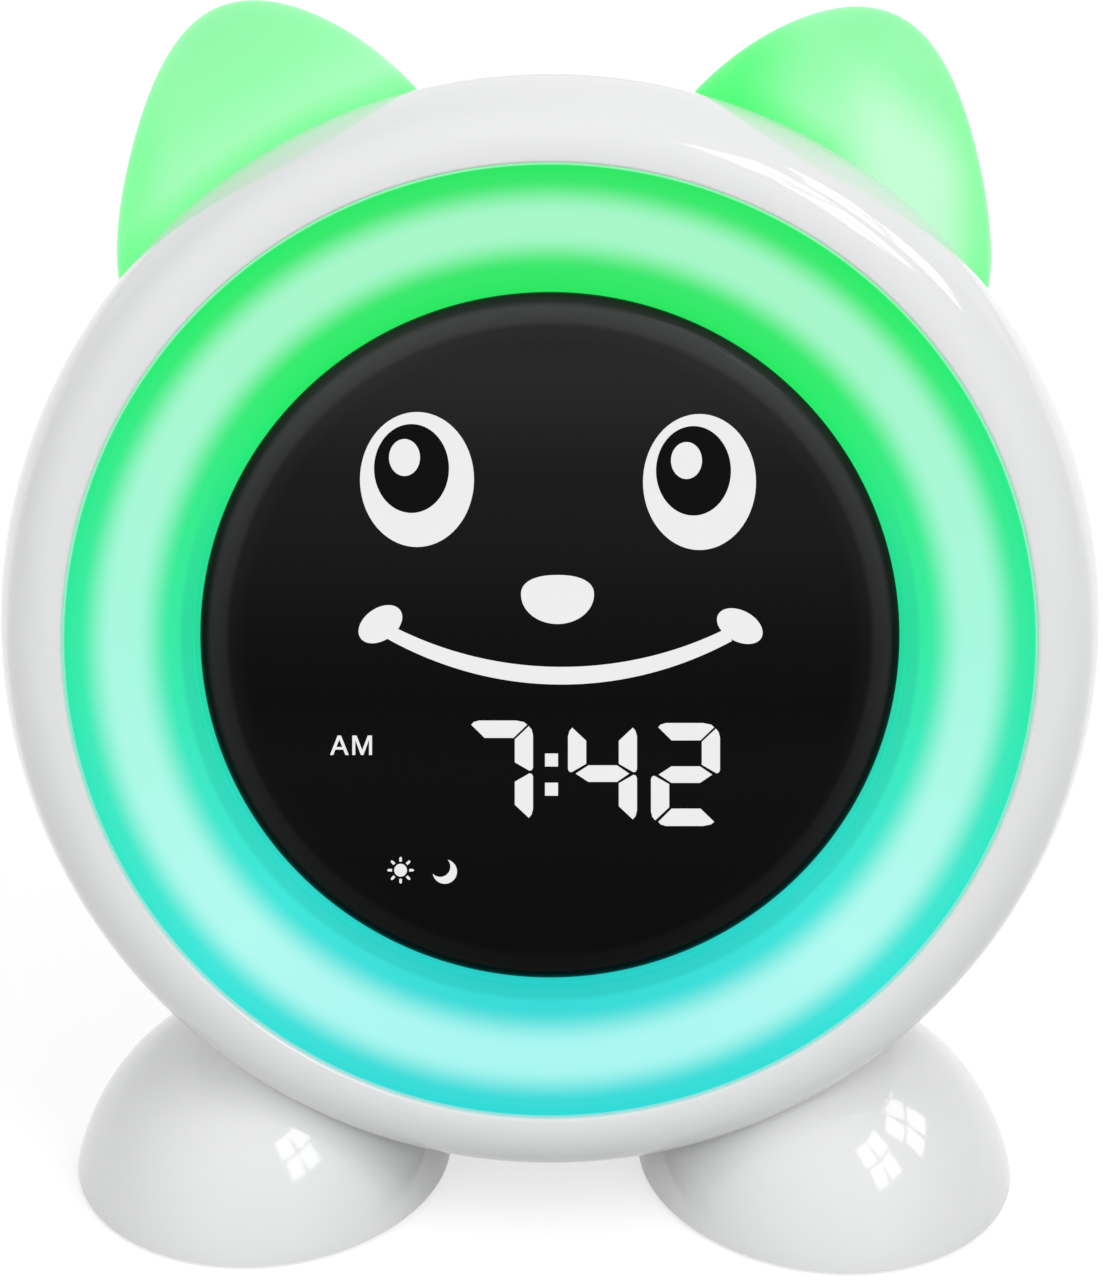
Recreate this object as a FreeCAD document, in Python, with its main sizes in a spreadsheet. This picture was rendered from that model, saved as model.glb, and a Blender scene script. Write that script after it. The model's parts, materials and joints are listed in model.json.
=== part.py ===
import FreeCAD, Part
import math
import os
import re
import Sketcher
from FreeCAD import Placement, Rotation, Vector

doc = FreeCAD.newDocument("night_light_clock")
dims = doc.addObject("Spreadsheet::Sheet", "dims")

# Driving sizes in millimetres and degrees. Depths count forward from the seam between the two shells.
SIZES = {
    "body_radius": "65", "flank_radius": "38", "flank_angle": "45", "nose_angle": "18",
    "bezel_height": "16", "back_depth": "43", "wall": "2.2", "seam_gap": "0.3",
    "tongue_depth": "1.5", "tongue_wall": "1", "tilt": "12", "centre_height": "68",
    "centre_back": "-6.49", "curved_gap": "0.15",
    "lip_radius": "56.4", "ring_gap": "0.2", "ring_front": "15.3", "ring_inner_front": "11.2",
    "ring_inner_radius": "41.6", "ring_crown": "0.8", "ring_wall": "1.8", "ring_foot": "7.2",
    "flange_radius": "58.6",
    "lens_radius": "40.8", "lens_back": "8.9", "lens_edge": "1", "lens_round": "3.4",
    "lens_shoulder": "11.55", "lens_crown": "12.6", "gasket_thick": "0.3", "gasket_width": "1.6",
    "film_radius": "38.2", "film_thick": "0.2", "light_box_back": "4",
    "board_thick": "1.6", "ring_board_back": "1.4", "ring_board_inner": "43.5",
    "ring_board_outer": "52.6", "ring_led_circle": "48.5", "ring_led_count": "24",
    "frame_back": "-0.4", "frame_bore": "36", "frame_collar": "2",
    "screw_circle": "56.5", "screw_count": "4", "post_radius": "3.2", "post_top": "2.6",
    "post_foot": "-6", "screw_seat": "9", "well_radius": "3.2", "shank_radius": "1.5",
    "head_radius": "2.8", "head_height": "2.2", "screw_clearance": "0.05",
    "ledge_circle": "56.5", "small_shank": "1", "small_head": "1.9", "small_head_height": "1.4",
    "board_standoff": "9.6", "main_board_radius": "33", "board_post_circle": "29.5",
    "button_circle": "21.5", "button_radius": "3.3", "button_proud": "1.2", "button_travel": "0.6",
    "button_gap": "0.25", "switch_height": "3", "flange_wide": "0.8", "flange_thick": "0.8",
    "speaker_radius": "11.5", "speaker_drop": "5", "grille_pitch": "3", "grille_hole": "0.8",
    "speaker_depth": "9", "usb_drop": "24.5", "usb_wide": "9", "usb_tall": "3.3",
    "battery_radius": "9.15", "battery_length": "65", "battery_drop": "22", "battery_depth": "18",
    "ear_across": "30.4", "ear_up": "48.6", "ear_back": "13", "ear_half_width": "20.85",
    "ear_half_height": "22.1", "ear_half_depth": "11.5", "ear_lean": "14", "ear_bow": "6.95",
    "ear_wall": "1.8", "spigot_radius": "7.5", "spigot_length": "5.6",
    "foot_across": "34.3", "foot_forward": "7.6", "foot_sunk": "6.4", "foot_half_width": "23.5",
    "foot_half_length": "28.8", "foot_half_height": "26", "toe_out": "8.5", "foot_wall": "2.4",
    "foot_lift": "0.3", "sole_thick": "2", "pad_radius": "6", "pad_thick": "1.5", "pad_spread": "17.5",
}
for row, (name, size) in enumerate(SIZES.items(), start=1):
    dims.set("A%d" % row, name)
    dims.set("B%d" % row, size)
    dims.setAlias("B%d" % row, name)
doc.recompute()

XY, XZ = "XY_Plane", "XZ_Plane"
UP, RIGHT, TOP = Vector(0, 0, 1), Vector(1, 0, 0), Vector(0, 1, 0)
NODES = []


def bound(text):
    """The expression with every named size pointed at the sheet."""
    return re.sub("[a-z_]+", lambda word: "dims." + word[0] if word[0] in SIZES else word[0], text)


def value(text):
    return float(dims.evalExpression(bound(text)))


def bind(target, field, text):
    target.setExpression(field, bound(text))


def seat(target):
    """Puts a piece that is drawn about the shell's axis into the leaning body."""
    target.Placement = Placement(Vector(0, 0, 1), Rotation(RIGHT, 90))
    bind(target, "Placement.Base.y", "centre_back")
    bind(target, "Placement.Base.z", "centre_height")
    bind(target, "Placement.Rotation.Angle", "90 - tilt")


def node(target, name):
    target.Label = name
    NODES.append(target)
    return target


def new_body(name):
    body = doc.addObject("PartDesign::Body", name)
    seat(body)
    return node(body, name)


def sketch_on(body, name, plane=XY, depth="0", turn=0):
    sketch = body.newObject("Sketcher::SketchObject", name)
    face = [item for item in body.Origin.OriginFeatures if item.Role == plane][0]
    sketch.AttachmentSupport = [(face, "")]
    sketch.MapMode = "FlatFace"
    sketch.AttachmentOffset = Placement(Vector(0, 0, 1), Rotation(UP, turn))
    bind(sketch, "AttachmentOffset.Base.z", depth)
    return sketch


def pin_point(sketch, item, end, across, along):
    """Ties a point to the sheet, or to an axis where it lies on one."""
    for kind, text, axis in (("DistanceX", across, -2), ("DistanceY", along, -1)):
        size = value(text)
        if abs(size) < 1e-9:
            sketch.addConstraint(Sketcher.Constraint("PointOnObject", item, end, axis))
        else:
            rule = sketch.addConstraint(Sketcher.Constraint(kind, -1, 1, item, end, size))
            bind(sketch, "Constraints[%d]" % rule, text)


def outline(sketch, corners):
    """A closed outline; a corner with four values is reached by an arc through the second pair."""
    spots = [Vector(value(corner[0]), value(corner[1]), 0) for corner in corners]
    ends = []
    for index, corner in enumerate(corners):
        start, stop = spots[index - 1], spots[index]
        if len(corner) == 4:
            middle = Vector(value(corner[2]), value(corner[3]), 0)
            edge = sketch.addGeometry(Part.Arc(start, middle, stop), False)
        else:
            edge = sketch.addGeometry(Part.LineSegment(start, stop), False)
        forward = (sketch.getPoint(edge, 1) - start).Length < 1e-6
        ends.append((edge, 1, 2) if forward else (edge, 2, 1))
    for index, corner in enumerate(corners):
        edge, _, stop_end = ends[index]
        following, start_end, _ = ends[(index + 1) % len(corners)]
        sketch.addConstraint(Sketcher.Constraint("Coincident", edge, stop_end, following, start_end))
        pin_point(sketch, edge, stop_end, corner[0], corner[1])
        if len(corner) == 4:
            middle = Vector(value(corner[2]), value(corner[3]), 0)
            guide = sketch.addGeometry(Part.Point(middle), True)
            sketch.addConstraint(Sketcher.Constraint("PointOnObject", guide, 1, edge))
            pin_point(sketch, guide, 1, corner[2], corner[3])


def ring_line(sketch, radius, across="0", along="0"):
    centre = Vector(value(across), value(along), 0)
    edge = sketch.addGeometry(Part.Circle(centre, UP, value(radius)), False)
    rule = sketch.addConstraint(Sketcher.Constraint("Radius", edge, value(radius)))
    bind(sketch, "Constraints[%d]" % rule, radius)
    if value(across) == 0 and value(along) == 0:
        sketch.addConstraint(Sketcher.Constraint("Coincident", edge, 3, -1, 1))
    else:
        pin_point(sketch, edge, 3, across, along)


def block_line(sketch, wide, tall, across="0", along="0"):
    left, right = "%s - (%s) / 2" % (across, wide), "%s + (%s) / 2" % (across, wide)
    low, high = "%s - (%s) / 2" % (along, tall), "%s + (%s) / 2" % (along, tall)
    outline(sketch, [(left, low), (right, low), (right, high), (left, high)])


def revolve(body, name, corners, cut=False):
    sketch = sketch_on(body, name + "_line", XZ)
    outline(sketch, corners)
    doc.recompute()
    turned = body.newObject("PartDesign::Groove" if cut else "PartDesign::Revolution", name)
    turned.Profile = sketch
    turned.ReferenceAxis = (sketch, ["V_Axis"])
    turned.Angle = 360
    return turned


def pad(body, sketch, name, length):
    raised = body.newObject("PartDesign::Pad", name)
    raised.Profile = sketch
    bind(raised, "Length", length)
    return raised


def pocket(body, sketch, name, length="0"):
    """Cuts forward from the sketch, through everything where no length is given."""
    doc.recompute()
    before = body.Shape.Volume
    sunk = body.newObject("PartDesign::Pocket", name)
    sunk.Profile = sketch
    sunk.Reversed = True
    sunk.Type = "ThroughAll" if length == "0" else "Length"
    if length != "0":
        bind(sunk, "Length", length)
    doc.recompute()
    if body.Shape.Volume >= before - 1e-6:
        raise RuntimeError(name + " cuts nothing")
    return sunk


def polar(body, features, name, count):
    doc.recompute()
    pattern = body.newObject("PartDesign::PolarPattern", name)
    pattern.Originals = features
    pattern.Axis = ([item for item in body.Origin.OriginFeatures if item.Role == "Z_Axis"][0], [""])
    pattern.Angle = 360
    bind(pattern, "Occurrences", count)
    body.Tip = pattern
    return pattern


def solid_node(name, shape, seated=True):
    """A node whose shape is worked out from the sheet by the functions below."""
    piece = doc.addObject("Part::Feature", name)
    piece.Shape = shape
    if seated:
        seat(piece)
    return node(piece, name)


def rod(radius, low, high, across=0.0, along=0.0):
    return Part.makeCylinder(radius, high - low, Vector(across, along, low))


def brick(wide, tall, low, high, across=0.0, along=0.0):
    return Part.makeBox(wide, tall, high - low, Vector(across - wide / 2, along - tall / 2, low))


def around(radius, degrees):
    return radius * math.cos(math.radians(degrees)), radius * math.sin(math.radians(degrees))


# The casing's outline: a flank arc about the seam, a small nose arc to the front lip and a
# shallow dome to the flat back. The inset moves each line inwards by that much.
FLANK = "(body_radius - flank_radius)"
NOSE = "((bezel_height - flank_radius * sin(nose_angle)) / (1 - sin(nose_angle)))"
NOSE_ACROSS = "(%s + (flank_radius - %s) * cos(nose_angle))" % (FLANK, NOSE)
NOSE_DEPTH = "((flank_radius - %s) * sin(nose_angle))" % NOSE
DOME = "(%s / cos(flank_angle) + flank_radius)" % FLANK
DOME_CENTRE = "(%s * tan(flank_angle))" % FLANK


def on_flank(angle, inset="0"):
    reach = "(flank_radius - (%s))" % inset
    return "%s + %s * cos(%s)" % (FLANK, reach, angle), "%s * sin(%s)" % (reach, angle)


def on_nose(angle, inset="0"):
    reach = "(%s - (%s))" % (NOSE, inset)
    across = "%s + %s * cos(%s)" % (NOSE_ACROSS, reach, angle)
    return across, "%s + %s * sin(%s)" % (NOSE_DEPTH, reach, angle)


def flank_at(depth, inset="0"):
    return "%s + sqrt((flank_radius - (%s))^2 - (%s)^2)" % (FLANK, inset, depth)


def dome_at(depth, inset="0"):
    return "sqrt((%s - (%s))^2 - ((%s) - %s)^2)" % (DOME, inset, depth, DOME_CENTRE)


def dome_line(top_corner, inset):
    """From a corner at the seam, down the flank and dome, to the axis at the flat back."""
    knee = on_flank("(0 - flank_angle)", inset)
    low = "0 - (back_depth - (%s))" % inset
    middle = "(%s + %s) / 2" % (knee[1], low)
    return [
        top_corner,
        knee + on_flank("(0 - flank_angle / 2)", inset),
        (dome_at(low, inset), low, dome_at(middle, inset), middle),
        ("0", low),
    ]


def turned_shape(corners):
    """The solid of revolution of an outline given as in the sketches."""
    spots = [Vector(value(corner[0]), 0, value(corner[1])) for corner in corners]
    edges = []
    for index, corner in enumerate(corners):
        start, stop = spots[index - 1], spots[index]
        if len(corner) == 4:
            middle = Vector(value(corner[2]), 0, value(corner[3]))
            edges.append(Part.Arc(start, middle, stop).toShape())
        else:
            edges.append(Part.LineSegment(start, stop).toShape())
    return Part.Face(Part.Wire(edges)).revolve(Vector(0, 0, 0), UP, 360)


def envelope(inset):
    """The whole casing as one closed solid, inset by a length, or grown where it is negative."""
    rim = ("0 + " + on_flank("0", inset)[0], "0")
    front_top = on_nose("90", inset)
    shoulder = on_flank("nose_angle", inset)
    lower = dome_line(rim, inset)
    nose_arc = on_nose("(nose_angle + 90) / 2", inset)
    back_up = [("0", front_top[1]), front_top, shoulder + nose_arc]
    return turned_shape(back_up + [rim + on_flank("nose_angle / 2", inset)] + lower[1:])


size = {name: value(name) for name in SIZES}
WALL = size["wall"]
INNER_BACK = -(size["back_depth"] - WALL)
TILTED = Placement(Vector(0, size["centre_back"], size["centre_height"]),
                   Rotation(RIGHT, 90 - size["tilt"]))
OUTSIDE = envelope("0")
INSIDE = envelope("wall")

# Front shell: bezel with a rolled lip, a tongue at the seam, screw posts and frame ledges.
front_shell = new_body("front_shell")
LIP_UNDER = "bezel_height - wall"
TONGUE = "(%s - wall + tongue_wall)" % on_flank("0")[0]
revolve(front_shell, "bezel", [
    (flank_at("seam_gap / 2"), "seam_gap / 2"),
    on_flank("nose_angle") + on_flank("nose_angle / 2"),
    on_nose("90") + on_nose("(nose_angle + 90) / 2"),
    ("lip_radius + 0.4", "bezel_height"),
    ("lip_radius", "bezel_height - 0.4", "lip_radius + 0.117", "bezel_height - 0.117"),
    ("lip_radius", LIP_UNDER),
    (NOSE_ACROSS, LIP_UNDER),
    on_flank("nose_angle", "wall") + on_nose("(nose_angle + 90) / 2", "wall"),
    on_flank("0", "wall") + on_flank("nose_angle / 2", "wall"),
    (on_flank("0", "wall")[0], "0 - tongue_depth"),
    (TONGUE, "0 - tongue_depth"),
    (TONGUE, "seam_gap / 2"),
])
post_line = sketch_on(front_shell, "post_line", XY, "post_foot")
ring_line(post_line, "post_radius", "screw_circle")
post = pad(front_shell, post_line, "post", "post_top - post_foot")
rib_line = sketch_on(front_shell, "rib_line", XY, "seam_gap")
RIB_END = "(body_radius - wall * 0.7)"
block_line(rib_line, RIB_END + " - screw_circle", "post_radius", "(%s + screw_circle) / 2" % RIB_END)
rib = pad(front_shell, rib_line, "rib", "post_top - seam_gap")
ledge_line = sketch_on(front_shell, "ledge_line", XY, "ring_board_back", 45)
LEDGE_START = "(ledge_circle - 2)"
block_line(ledge_line, "%s - %s" % (RIB_END, LEDGE_START), "7", "(%s + %s) / 2" % (RIB_END, LEDGE_START))
ledge = pad(front_shell, ledge_line, "ledge", "post_top - ring_board_back")
pilot_line = sketch_on(front_shell, "pilot_line", XY, "post_foot")
ring_line(pilot_line, "shank_radius + screw_clearance", "screw_circle")
pilot = pocket(front_shell, pilot_line, "pilot", "post_top - post_foot - 0.6")
polar(front_shell, [post, rib, ledge, pilot], "post_ring", "screw_count")

# Light ring: a milky diffuser that slopes in to the lens, with a flange under the lip.
light_ring = new_body("light_ring")
RING_OUTER = "(lip_radius - ring_gap)"
RING_MIDDLE = "(%s + ring_inner_radius) / 2" % RING_OUTER
SHELF = "(lens_back - gasket_thick)"
revolve(light_ring, "diffuser", [
    (RING_OUTER, LIP_UNDER),
    (RING_OUTER, "ring_front"),
    ("ring_inner_radius", "ring_inner_front", RING_MIDDLE,
     "(ring_front + ring_inner_front) / 2 + ring_crown"),
    ("ring_inner_radius", SHELF),
    ("film_radius + 0.5", SHELF),
    ("film_radius + 0.5", "ring_foot"),
    ("ring_inner_radius + 1.2", "ring_foot"),
    ("ring_inner_radius + ring_wall", "ring_inner_front - ring_wall + 0.4"),
    ("%s - ring_wall" % RING_OUTER, "ring_front - ring_wall - 0.3", RING_MIDDLE,
     "(ring_front + ring_inner_front) / 2 + ring_crown - ring_wall"),
    ("%s - ring_wall" % RING_OUTER, "%s - ring_wall" % LIP_UNDER),
    ("flange_radius", "%s - ring_wall" % LIP_UNDER),
    ("flange_radius", "%s - 0.9" % LIP_UNDER),
    (NOSE_ACROSS, LIP_UNDER),
])

# Lens, its foam gasket and the masked film behind it.
display_lens = new_body("display_lens")
LENS_EDGE = "lens_back + lens_edge"
LENS_FLAT = "(lens_radius - lens_round)"
LENS_RISE = "(lens_crown - lens_shoulder)"
LENS_ARC = "((%s^2 + %s^2) / (2 * %s))" % (LENS_FLAT, LENS_RISE, LENS_RISE)
revolve(display_lens, "dome", [
    ("0", "lens_back"), ("lens_radius", "lens_back"), ("lens_radius", LENS_EDGE),
    (LENS_FLAT, "lens_shoulder", "lens_radius - lens_round * 0.25",
     "lens_shoulder - (lens_shoulder - lens_back - lens_edge) * 0.3"),
    ("0", "lens_crown", LENS_FLAT + " / 2",
     "lens_crown - %s + sqrt(%s^2 - (%s / 2)^2)" % (LENS_ARC, LENS_ARC, LENS_FLAT)),
])
lens_gasket = new_body("lens_gasket")
block_section = [("lens_radius - 0.2 - gasket_width", SHELF), ("lens_radius - 0.2", SHELF),
                 ("lens_radius - 0.2", "lens_back"), ("lens_radius - 0.2 - gasket_width", "lens_back")]
revolve(lens_gasket, "foam", block_section)
mask_film = new_body("mask_film")
film_line = sketch_on(mask_film, "film_line", XY, "lens_back - film_thick")
ring_line(film_line, "film_radius")
pad(mask_film, film_line, "film", "film_thick")

# Light box: a black plate whose cavities shape each lit figure of the face and the time.
light_box = new_body("light_box")
box_line = sketch_on(light_box, "box_line", XY, "light_box_back")
ring_line(box_line, "film_radius")
pad(light_box, box_line, "plate", "lens_back - film_thick - light_box_back")
# Places on the lens are pixels of the photograph; sizes are millimetres.
MM = 0.1166                        # one photograph pixel on the lens
LENS_PX = (550.7, 636.5)
LENS_PITCH = 11.76                 # the camera's pitch to the lens axis, in degrees
EYE_COLUMNS, EYE_LINE, EYE_HALF = (417, 699.5), 481, (6.75, 8.1)
NOSE_PX, NOSE_HALF = (557.5, 599.5), (4.35, 2.95)
SMILE_LOW_PX, SMILE_END_PX, SMILE_WIDE = (561, 676), (393, 631), 1.9
SMILE_TIP = 4                      # degrees that the rounded ends add
COLON_PX = ((551.5, 760), (551.5, 789))
COLON_WIDE, LETTER_BOX, SIGN_WIDE = 1.8, (6.2, 3.2), 3.8
LETTERS_PX, SIGNS_PX = (351, 745), ((400.6, 870), (444.5, 872))


def at_pixel(column, line):
    return (column - LENS_PX[0]) * MM, (LENS_PX[1] - line) * MM / math.cos(math.radians(LENS_PITCH))


def ellipse_line(sketch, across, along, half_wide, half_tall):
    tall = half_tall >= half_wide
    big, small = max(half_wide, half_tall), min(half_wide, half_tall)
    spot = Vector(across, along, 0)
    tip = spot + (TOP if tall else RIGHT) * big
    side = spot + (RIGHT if tall else TOP) * small
    sketch.addGeometry(Part.Ellipse(tip, side, spot), False)


def closed_line(sketch, spots):
    for index, spot in enumerate(spots):
        sketch.addGeometry(Part.LineSegment(Vector(*spots[index - 1], 0), Vector(*spot, 0)), False)


face_line = sketch_on(light_box, "face_line", XY, "light_box_back")
for eye in EYE_COLUMNS:
    ellipse_line(face_line, *at_pixel(eye, EYE_LINE), *EYE_HALF)
ellipse_line(face_line, *at_pixel(*NOSE_PX), *NOSE_HALF)
smile_low, smile_end = at_pixel(*SMILE_LOW_PX), at_pixel(*SMILE_END_PX)
smile_half = smile_low[0] - smile_end[0]
smile_rise = smile_end[1] - smile_low[1]
smile_radius = (smile_half ** 2 + smile_rise ** 2) / (2 * smile_rise)
smile_top = smile_low[1] + smile_radius
smile_turn = math.degrees(math.asin(smile_half / smile_radius))


def smile_at(radius, degrees):
    return Vector(smile_low[0] + radius * math.sin(math.radians(degrees)),
                  smile_top - radius * math.cos(math.radians(degrees)), 0)


smile_bounds = (smile_radius - SMILE_WIDE / 2, smile_radius + SMILE_WIDE / 2)
for radius in smile_bounds:
    bow = Part.Arc(smile_at(radius, -smile_turn), smile_at(radius, 0), smile_at(radius, smile_turn))
    face_line.addGeometry(bow, False)
for side in (-1, 1):
    inner, outer = (smile_at(radius, side * smile_turn) for radius in smile_bounds)
    tip = smile_at(smile_radius, side * (smile_turn + SMILE_TIP))
    face_line.addGeometry(Part.Arc(inner, tip, outer), False)
pocket(light_box, face_line, "face_cavities")

SEGMENTS = {"a": (0, 1, 0), "g": (0, 0, 0), "d": (0, -1, 0),
            "f": (-1, 0.5, 90), "b": (1, 0.5, 90), "e": (-1, -0.5, 90), "c": (1, -0.5, 90)}
DIGIT_WIDE, DIGIT_TALL, STROKE, DIGIT_LEAN = 6.1, 10.1, 2.1, 0.09
DIGIT_LINE = at_pixel(0, 772)[1]
DIGITS = [at_pixel(column, 0)[0] for column in (415.5, 498.5, 600, 683)]


def segment_spots(centre, name):
    """The six corners of one bar of a seven-bar digit, leaning slightly."""
    across, along, turn = SEGMENTS[name]
    length = (DIGIT_WIDE if turn == 0 else DIGIT_TALL / 2) - 0.25
    half, point = length / 2, STROKE / 2
    bar = [(-half, 0), (-half + point, point), (half - point, point),
           (half, 0), (half - point, -point), (-half + point, -point)]
    spots = []
    for along_bar, over_bar in bar:
        x, y = (along_bar, over_bar) if turn == 0 else (-over_bar, along_bar)
        x, y = x + across * DIGIT_WIDE / 2, y + along * DIGIT_TALL / 2
        spots.append((centre + x + DIGIT_LEAN * y, DIGIT_LINE + y))
    return spots


digit_line = sketch_on(light_box, "digit_line", XY, "light_box_back")
for centre in DIGITS:
    for name in SEGMENTS:
        closed_line(digit_line, segment_spots(centre, name))
pocket(light_box, digit_line, "digit_cavities")
small_line = sketch_on(light_box, "small_line", XY, "light_box_back")
SIGN_BOXES = [(spot, COLON_WIDE, COLON_WIDE) for spot in COLON_PX] + [(LETTERS_PX, *LETTER_BOX)]
SIGN_BOXES += [(spot, SIGN_WIDE, SIGN_WIDE) for spot in SIGNS_PX]
for spot, wide, tall in SIGN_BOXES:
    across, along = at_pixel(*spot)
    closed_line(small_line, [(across - wide / 2, along - tall / 2), (across + wide / 2, along - tall / 2),
                             (across + wide / 2, along + tall / 2), (across - wide / 2, along + tall / 2)])
pocket(light_box, small_line, "sign_cavities")

# Display board behind the light box, with its lamps and driver chip.
display_board = new_body("display_board")
display_line = sketch_on(display_board, "display_line", XY, "light_box_back - board_thick")
ring_line(display_line, "film_radius")
pad(display_board, display_line, "board", "board_thick")
LED_WIDE, LED_TALL, LED_HIGH = 1.6, 0.8, 0.7
led_spots = []
for eye in EYE_COLUMNS:
    for dx, dy in ((0, 5), (0, -5), (-4, 0), (4, 0)):
        spot = at_pixel(eye, EYE_LINE)
        led_spots.append((spot[0] + dx, spot[1] + dy))
led_spots.append(at_pixel(*NOSE_PX))
led_spots += [tuple(smile_at(smile_radius, smile_turn * share / 3))[:2] for share in (-3, -2, -1, 0, 1, 2, 3)]
for centre in DIGITS:
    for name in SEGMENTS:
        corners = segment_spots(centre, name)
        led_spots.append((sum(spot[0] for spot in corners) / 6, sum(spot[1] for spot in corners) / 6))
led_spots += [at_pixel(*spot) for spot, wide, tall in SIGN_BOXES]
display_face = size["light_box_back"]
solid_node("display_leds", Part.makeCompound([
    brick(LED_WIDE, LED_TALL, display_face, display_face + LED_HIGH, *spot) for spot in led_spots]))
driver_face = display_face - size["board_thick"]
solid_node("display_driver", brick(10, 10, driver_face - 1.4, driver_face))

# Inner frame: a plate with a collar that holds the display parts and the ring board.
inner_frame = new_body("inner_frame")
COLLAR = "(film_radius + 0.3)"
revolve(inner_frame, "plate", [
    ("frame_bore", "frame_back"), ("ring_board_outer", "frame_back"),
    ("ring_board_outer", "ring_board_back"), ("%s + frame_collar" % COLLAR, "ring_board_back"),
    ("%s + frame_collar" % COLLAR, "ring_foot"), (COLLAR, "ring_foot"),
    (COLLAR, "light_box_back - board_thick"), ("frame_bore", "light_box_back - board_thick"),
])
tab_line = sketch_on(inner_frame, "tab_line", XY, "frame_back", 45)
TAB_END = "(ledge_circle + 3)"
block_line(tab_line, "%s - ring_board_outer + 1" % TAB_END, "6", "(%s + ring_board_outer - 1) / 2" % TAB_END)
tab = pad(inner_frame, tab_line, "tab", "ring_board_back - frame_back")
tab_hole_line = sketch_on(inner_frame, "tab_hole_line", XY, "frame_back", 45)
ring_line(tab_hole_line, "small_shank + 0.15", "ledge_circle")
tab_hole = pocket(inner_frame, tab_hole_line, "tab_hole", "ring_board_back - frame_back + 0.2")
polar(inner_frame, [tab, tab_hole], "tab_ring", "screw_count")

# Ring board, its lamps and the white trough in front of it.
ring_board = new_body("ring_board")
ring_board_line = sketch_on(ring_board, "ring_board_line", XY, "ring_board_back")
ring_line(ring_board_line, "ring_board_outer")
ring_line(ring_board_line, "ring_board_inner")
pad(ring_board, ring_board_line, "annulus", "board_thick")
ring_face = size["ring_board_back"] + size["board_thick"]
ring_lamps = []
for index in range(int(size["ring_led_count"])):
    lamp = brick(2.8, 3.5, ring_face, ring_face + 1, size["ring_led_circle"])
    lamp.rotate(Vector(0, 0, 0), UP, index * 360 / size["ring_led_count"])
    ring_lamps.append(lamp)
solid_node("ring_leds", Part.makeCompound(ring_lamps))
ring_reflector = new_body("ring_reflector")
FLOOR = "(ring_board_back + board_thick)"
revolve(ring_reflector, "trough", [
    ("ring_board_inner + 0.4", FLOOR), ("ring_board_outer - 0.2", FLOOR),
    ("lip_radius + 0.2", "bezel_height - wall - ring_wall - 0.3"),
    ("lip_radius - 1", "bezel_height - wall - ring_wall - 0.3"),
    ("ring_board_outer - 1.2", FLOOR + " + 0.8"), ("ring_board_inner + 1.6", FLOOR + " + 0.8"),
    ("ring_inner_radius + 0.6", "ring_foot - 0.3"), ("ring_inner_radius - 0.4", "ring_foot - 0.3"),
])
window_line = sketch_on(ring_reflector, "window_line", XY, FLOOR)
block_line(window_line, "3.4", "4.1", "ring_led_circle")
window = pocket(ring_reflector, window_line, "window", "0.9")
polar(ring_reflector, [window], "window_ring", "ring_led_count")

# Rear shell: the dome with screw wells, board posts, sound holes, button holes and the inlet slot.
STEP = "(%s + curved_gap)" % TONGUE
skin_corners = dome_line((flank_at("seam_gap / 2"), "0 - seam_gap / 2"), "0")
inner_corners = dome_line((flank_at("tongue_depth", "wall"), "0 - tongue_depth"), "wall")
inner_up = [
    ("0", inner_corners[3][1]), (inner_corners[2][0], inner_corners[2][1]),
    (inner_corners[1][0], inner_corners[1][1], inner_corners[2][2], inner_corners[2][3]),
    inner_corners[0] + inner_corners[1][2:],
    (STEP, "0 - tongue_depth"), (STEP, "0 - seam_gap / 2"),
]
rear = turned_shape(skin_corners + inner_up)
seat_depth = -size["screw_seat"]
post_foot = size["post_foot"]
hub, cuts = [], []
WELL_WALL = 1.4
for index in range(int(size["screw_count"])):
    across, along = around(size["screw_circle"], index * 360 / size["screw_count"])
    hub.append(rod(size["well_radius"] + WELL_WALL, -size["back_depth"], post_foot, across, along))
    cuts.append(rod(size["well_radius"], -size["back_depth"], seat_depth, across, along))
    cuts.append(rod(size["shank_radius"] + 0.2, seat_depth - 1, post_foot + 1, across, along))
board_back = (size["board_standoff"] - size["back_depth"]) - size["board_thick"]
BOARD_POST, BOARD_POST_TURNS = 2.5, (90, 200, 340)
for turn in BOARD_POST_TURNS:
    across, along = around(size["board_post_circle"], turn)
    hub.append(rod(BOARD_POST, -size["back_depth"], board_back, across, along))
    cuts.append(rod(size["small_shank"] + size["screw_clearance"], INNER_BACK, board_back + 1, across, along))
speaker_y = -size["speaker_drop"]
SPEAKER_WALL = 1.2
rim = rod(size["speaker_radius"] + 0.3 + SPEAKER_WALL, -size["back_depth"], INNER_BACK + 3, 0, speaker_y)
hub.append(rim.cut(rod(size["speaker_radius"] + 0.3, -size["back_depth"], INNER_BACK + 3, 0, speaker_y)))
foot_x = size["foot_across"]
foot_y = size["centre_back"] - size["foot_forward"]
FOOT_POST_BACK, FOOT_POST, FOOT_BOSS_TOP = 8.5, 4, 21
foot_post_y = foot_y + FOOT_POST_BACK
untilt = TILTED.inverse()
for side in (-1, 1):
    boss = rod(FOOT_POST + 0.5, 6, FOOT_BOSS_TOP, side * foot_x, foot_post_y)
    boss.Placement = untilt
    hub.append(boss)
    hole = rod(size["shank_radius"] + 0.2, 4, FOOT_BOSS_TOP + 2, side * foot_x, foot_post_y)
    hole.Placement = untilt
    cuts.append(hole)
rear = rear.multiFuse([piece.common(OUTSIDE) for piece in hub])
BUTTONS = {"light_button": 15, "volume_down_button": 45, "down_button": 75,
           "up_button": 105, "set_button": 135, "alarm_button": 165}
button_hole = size["button_radius"] + size["button_gap"]
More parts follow.
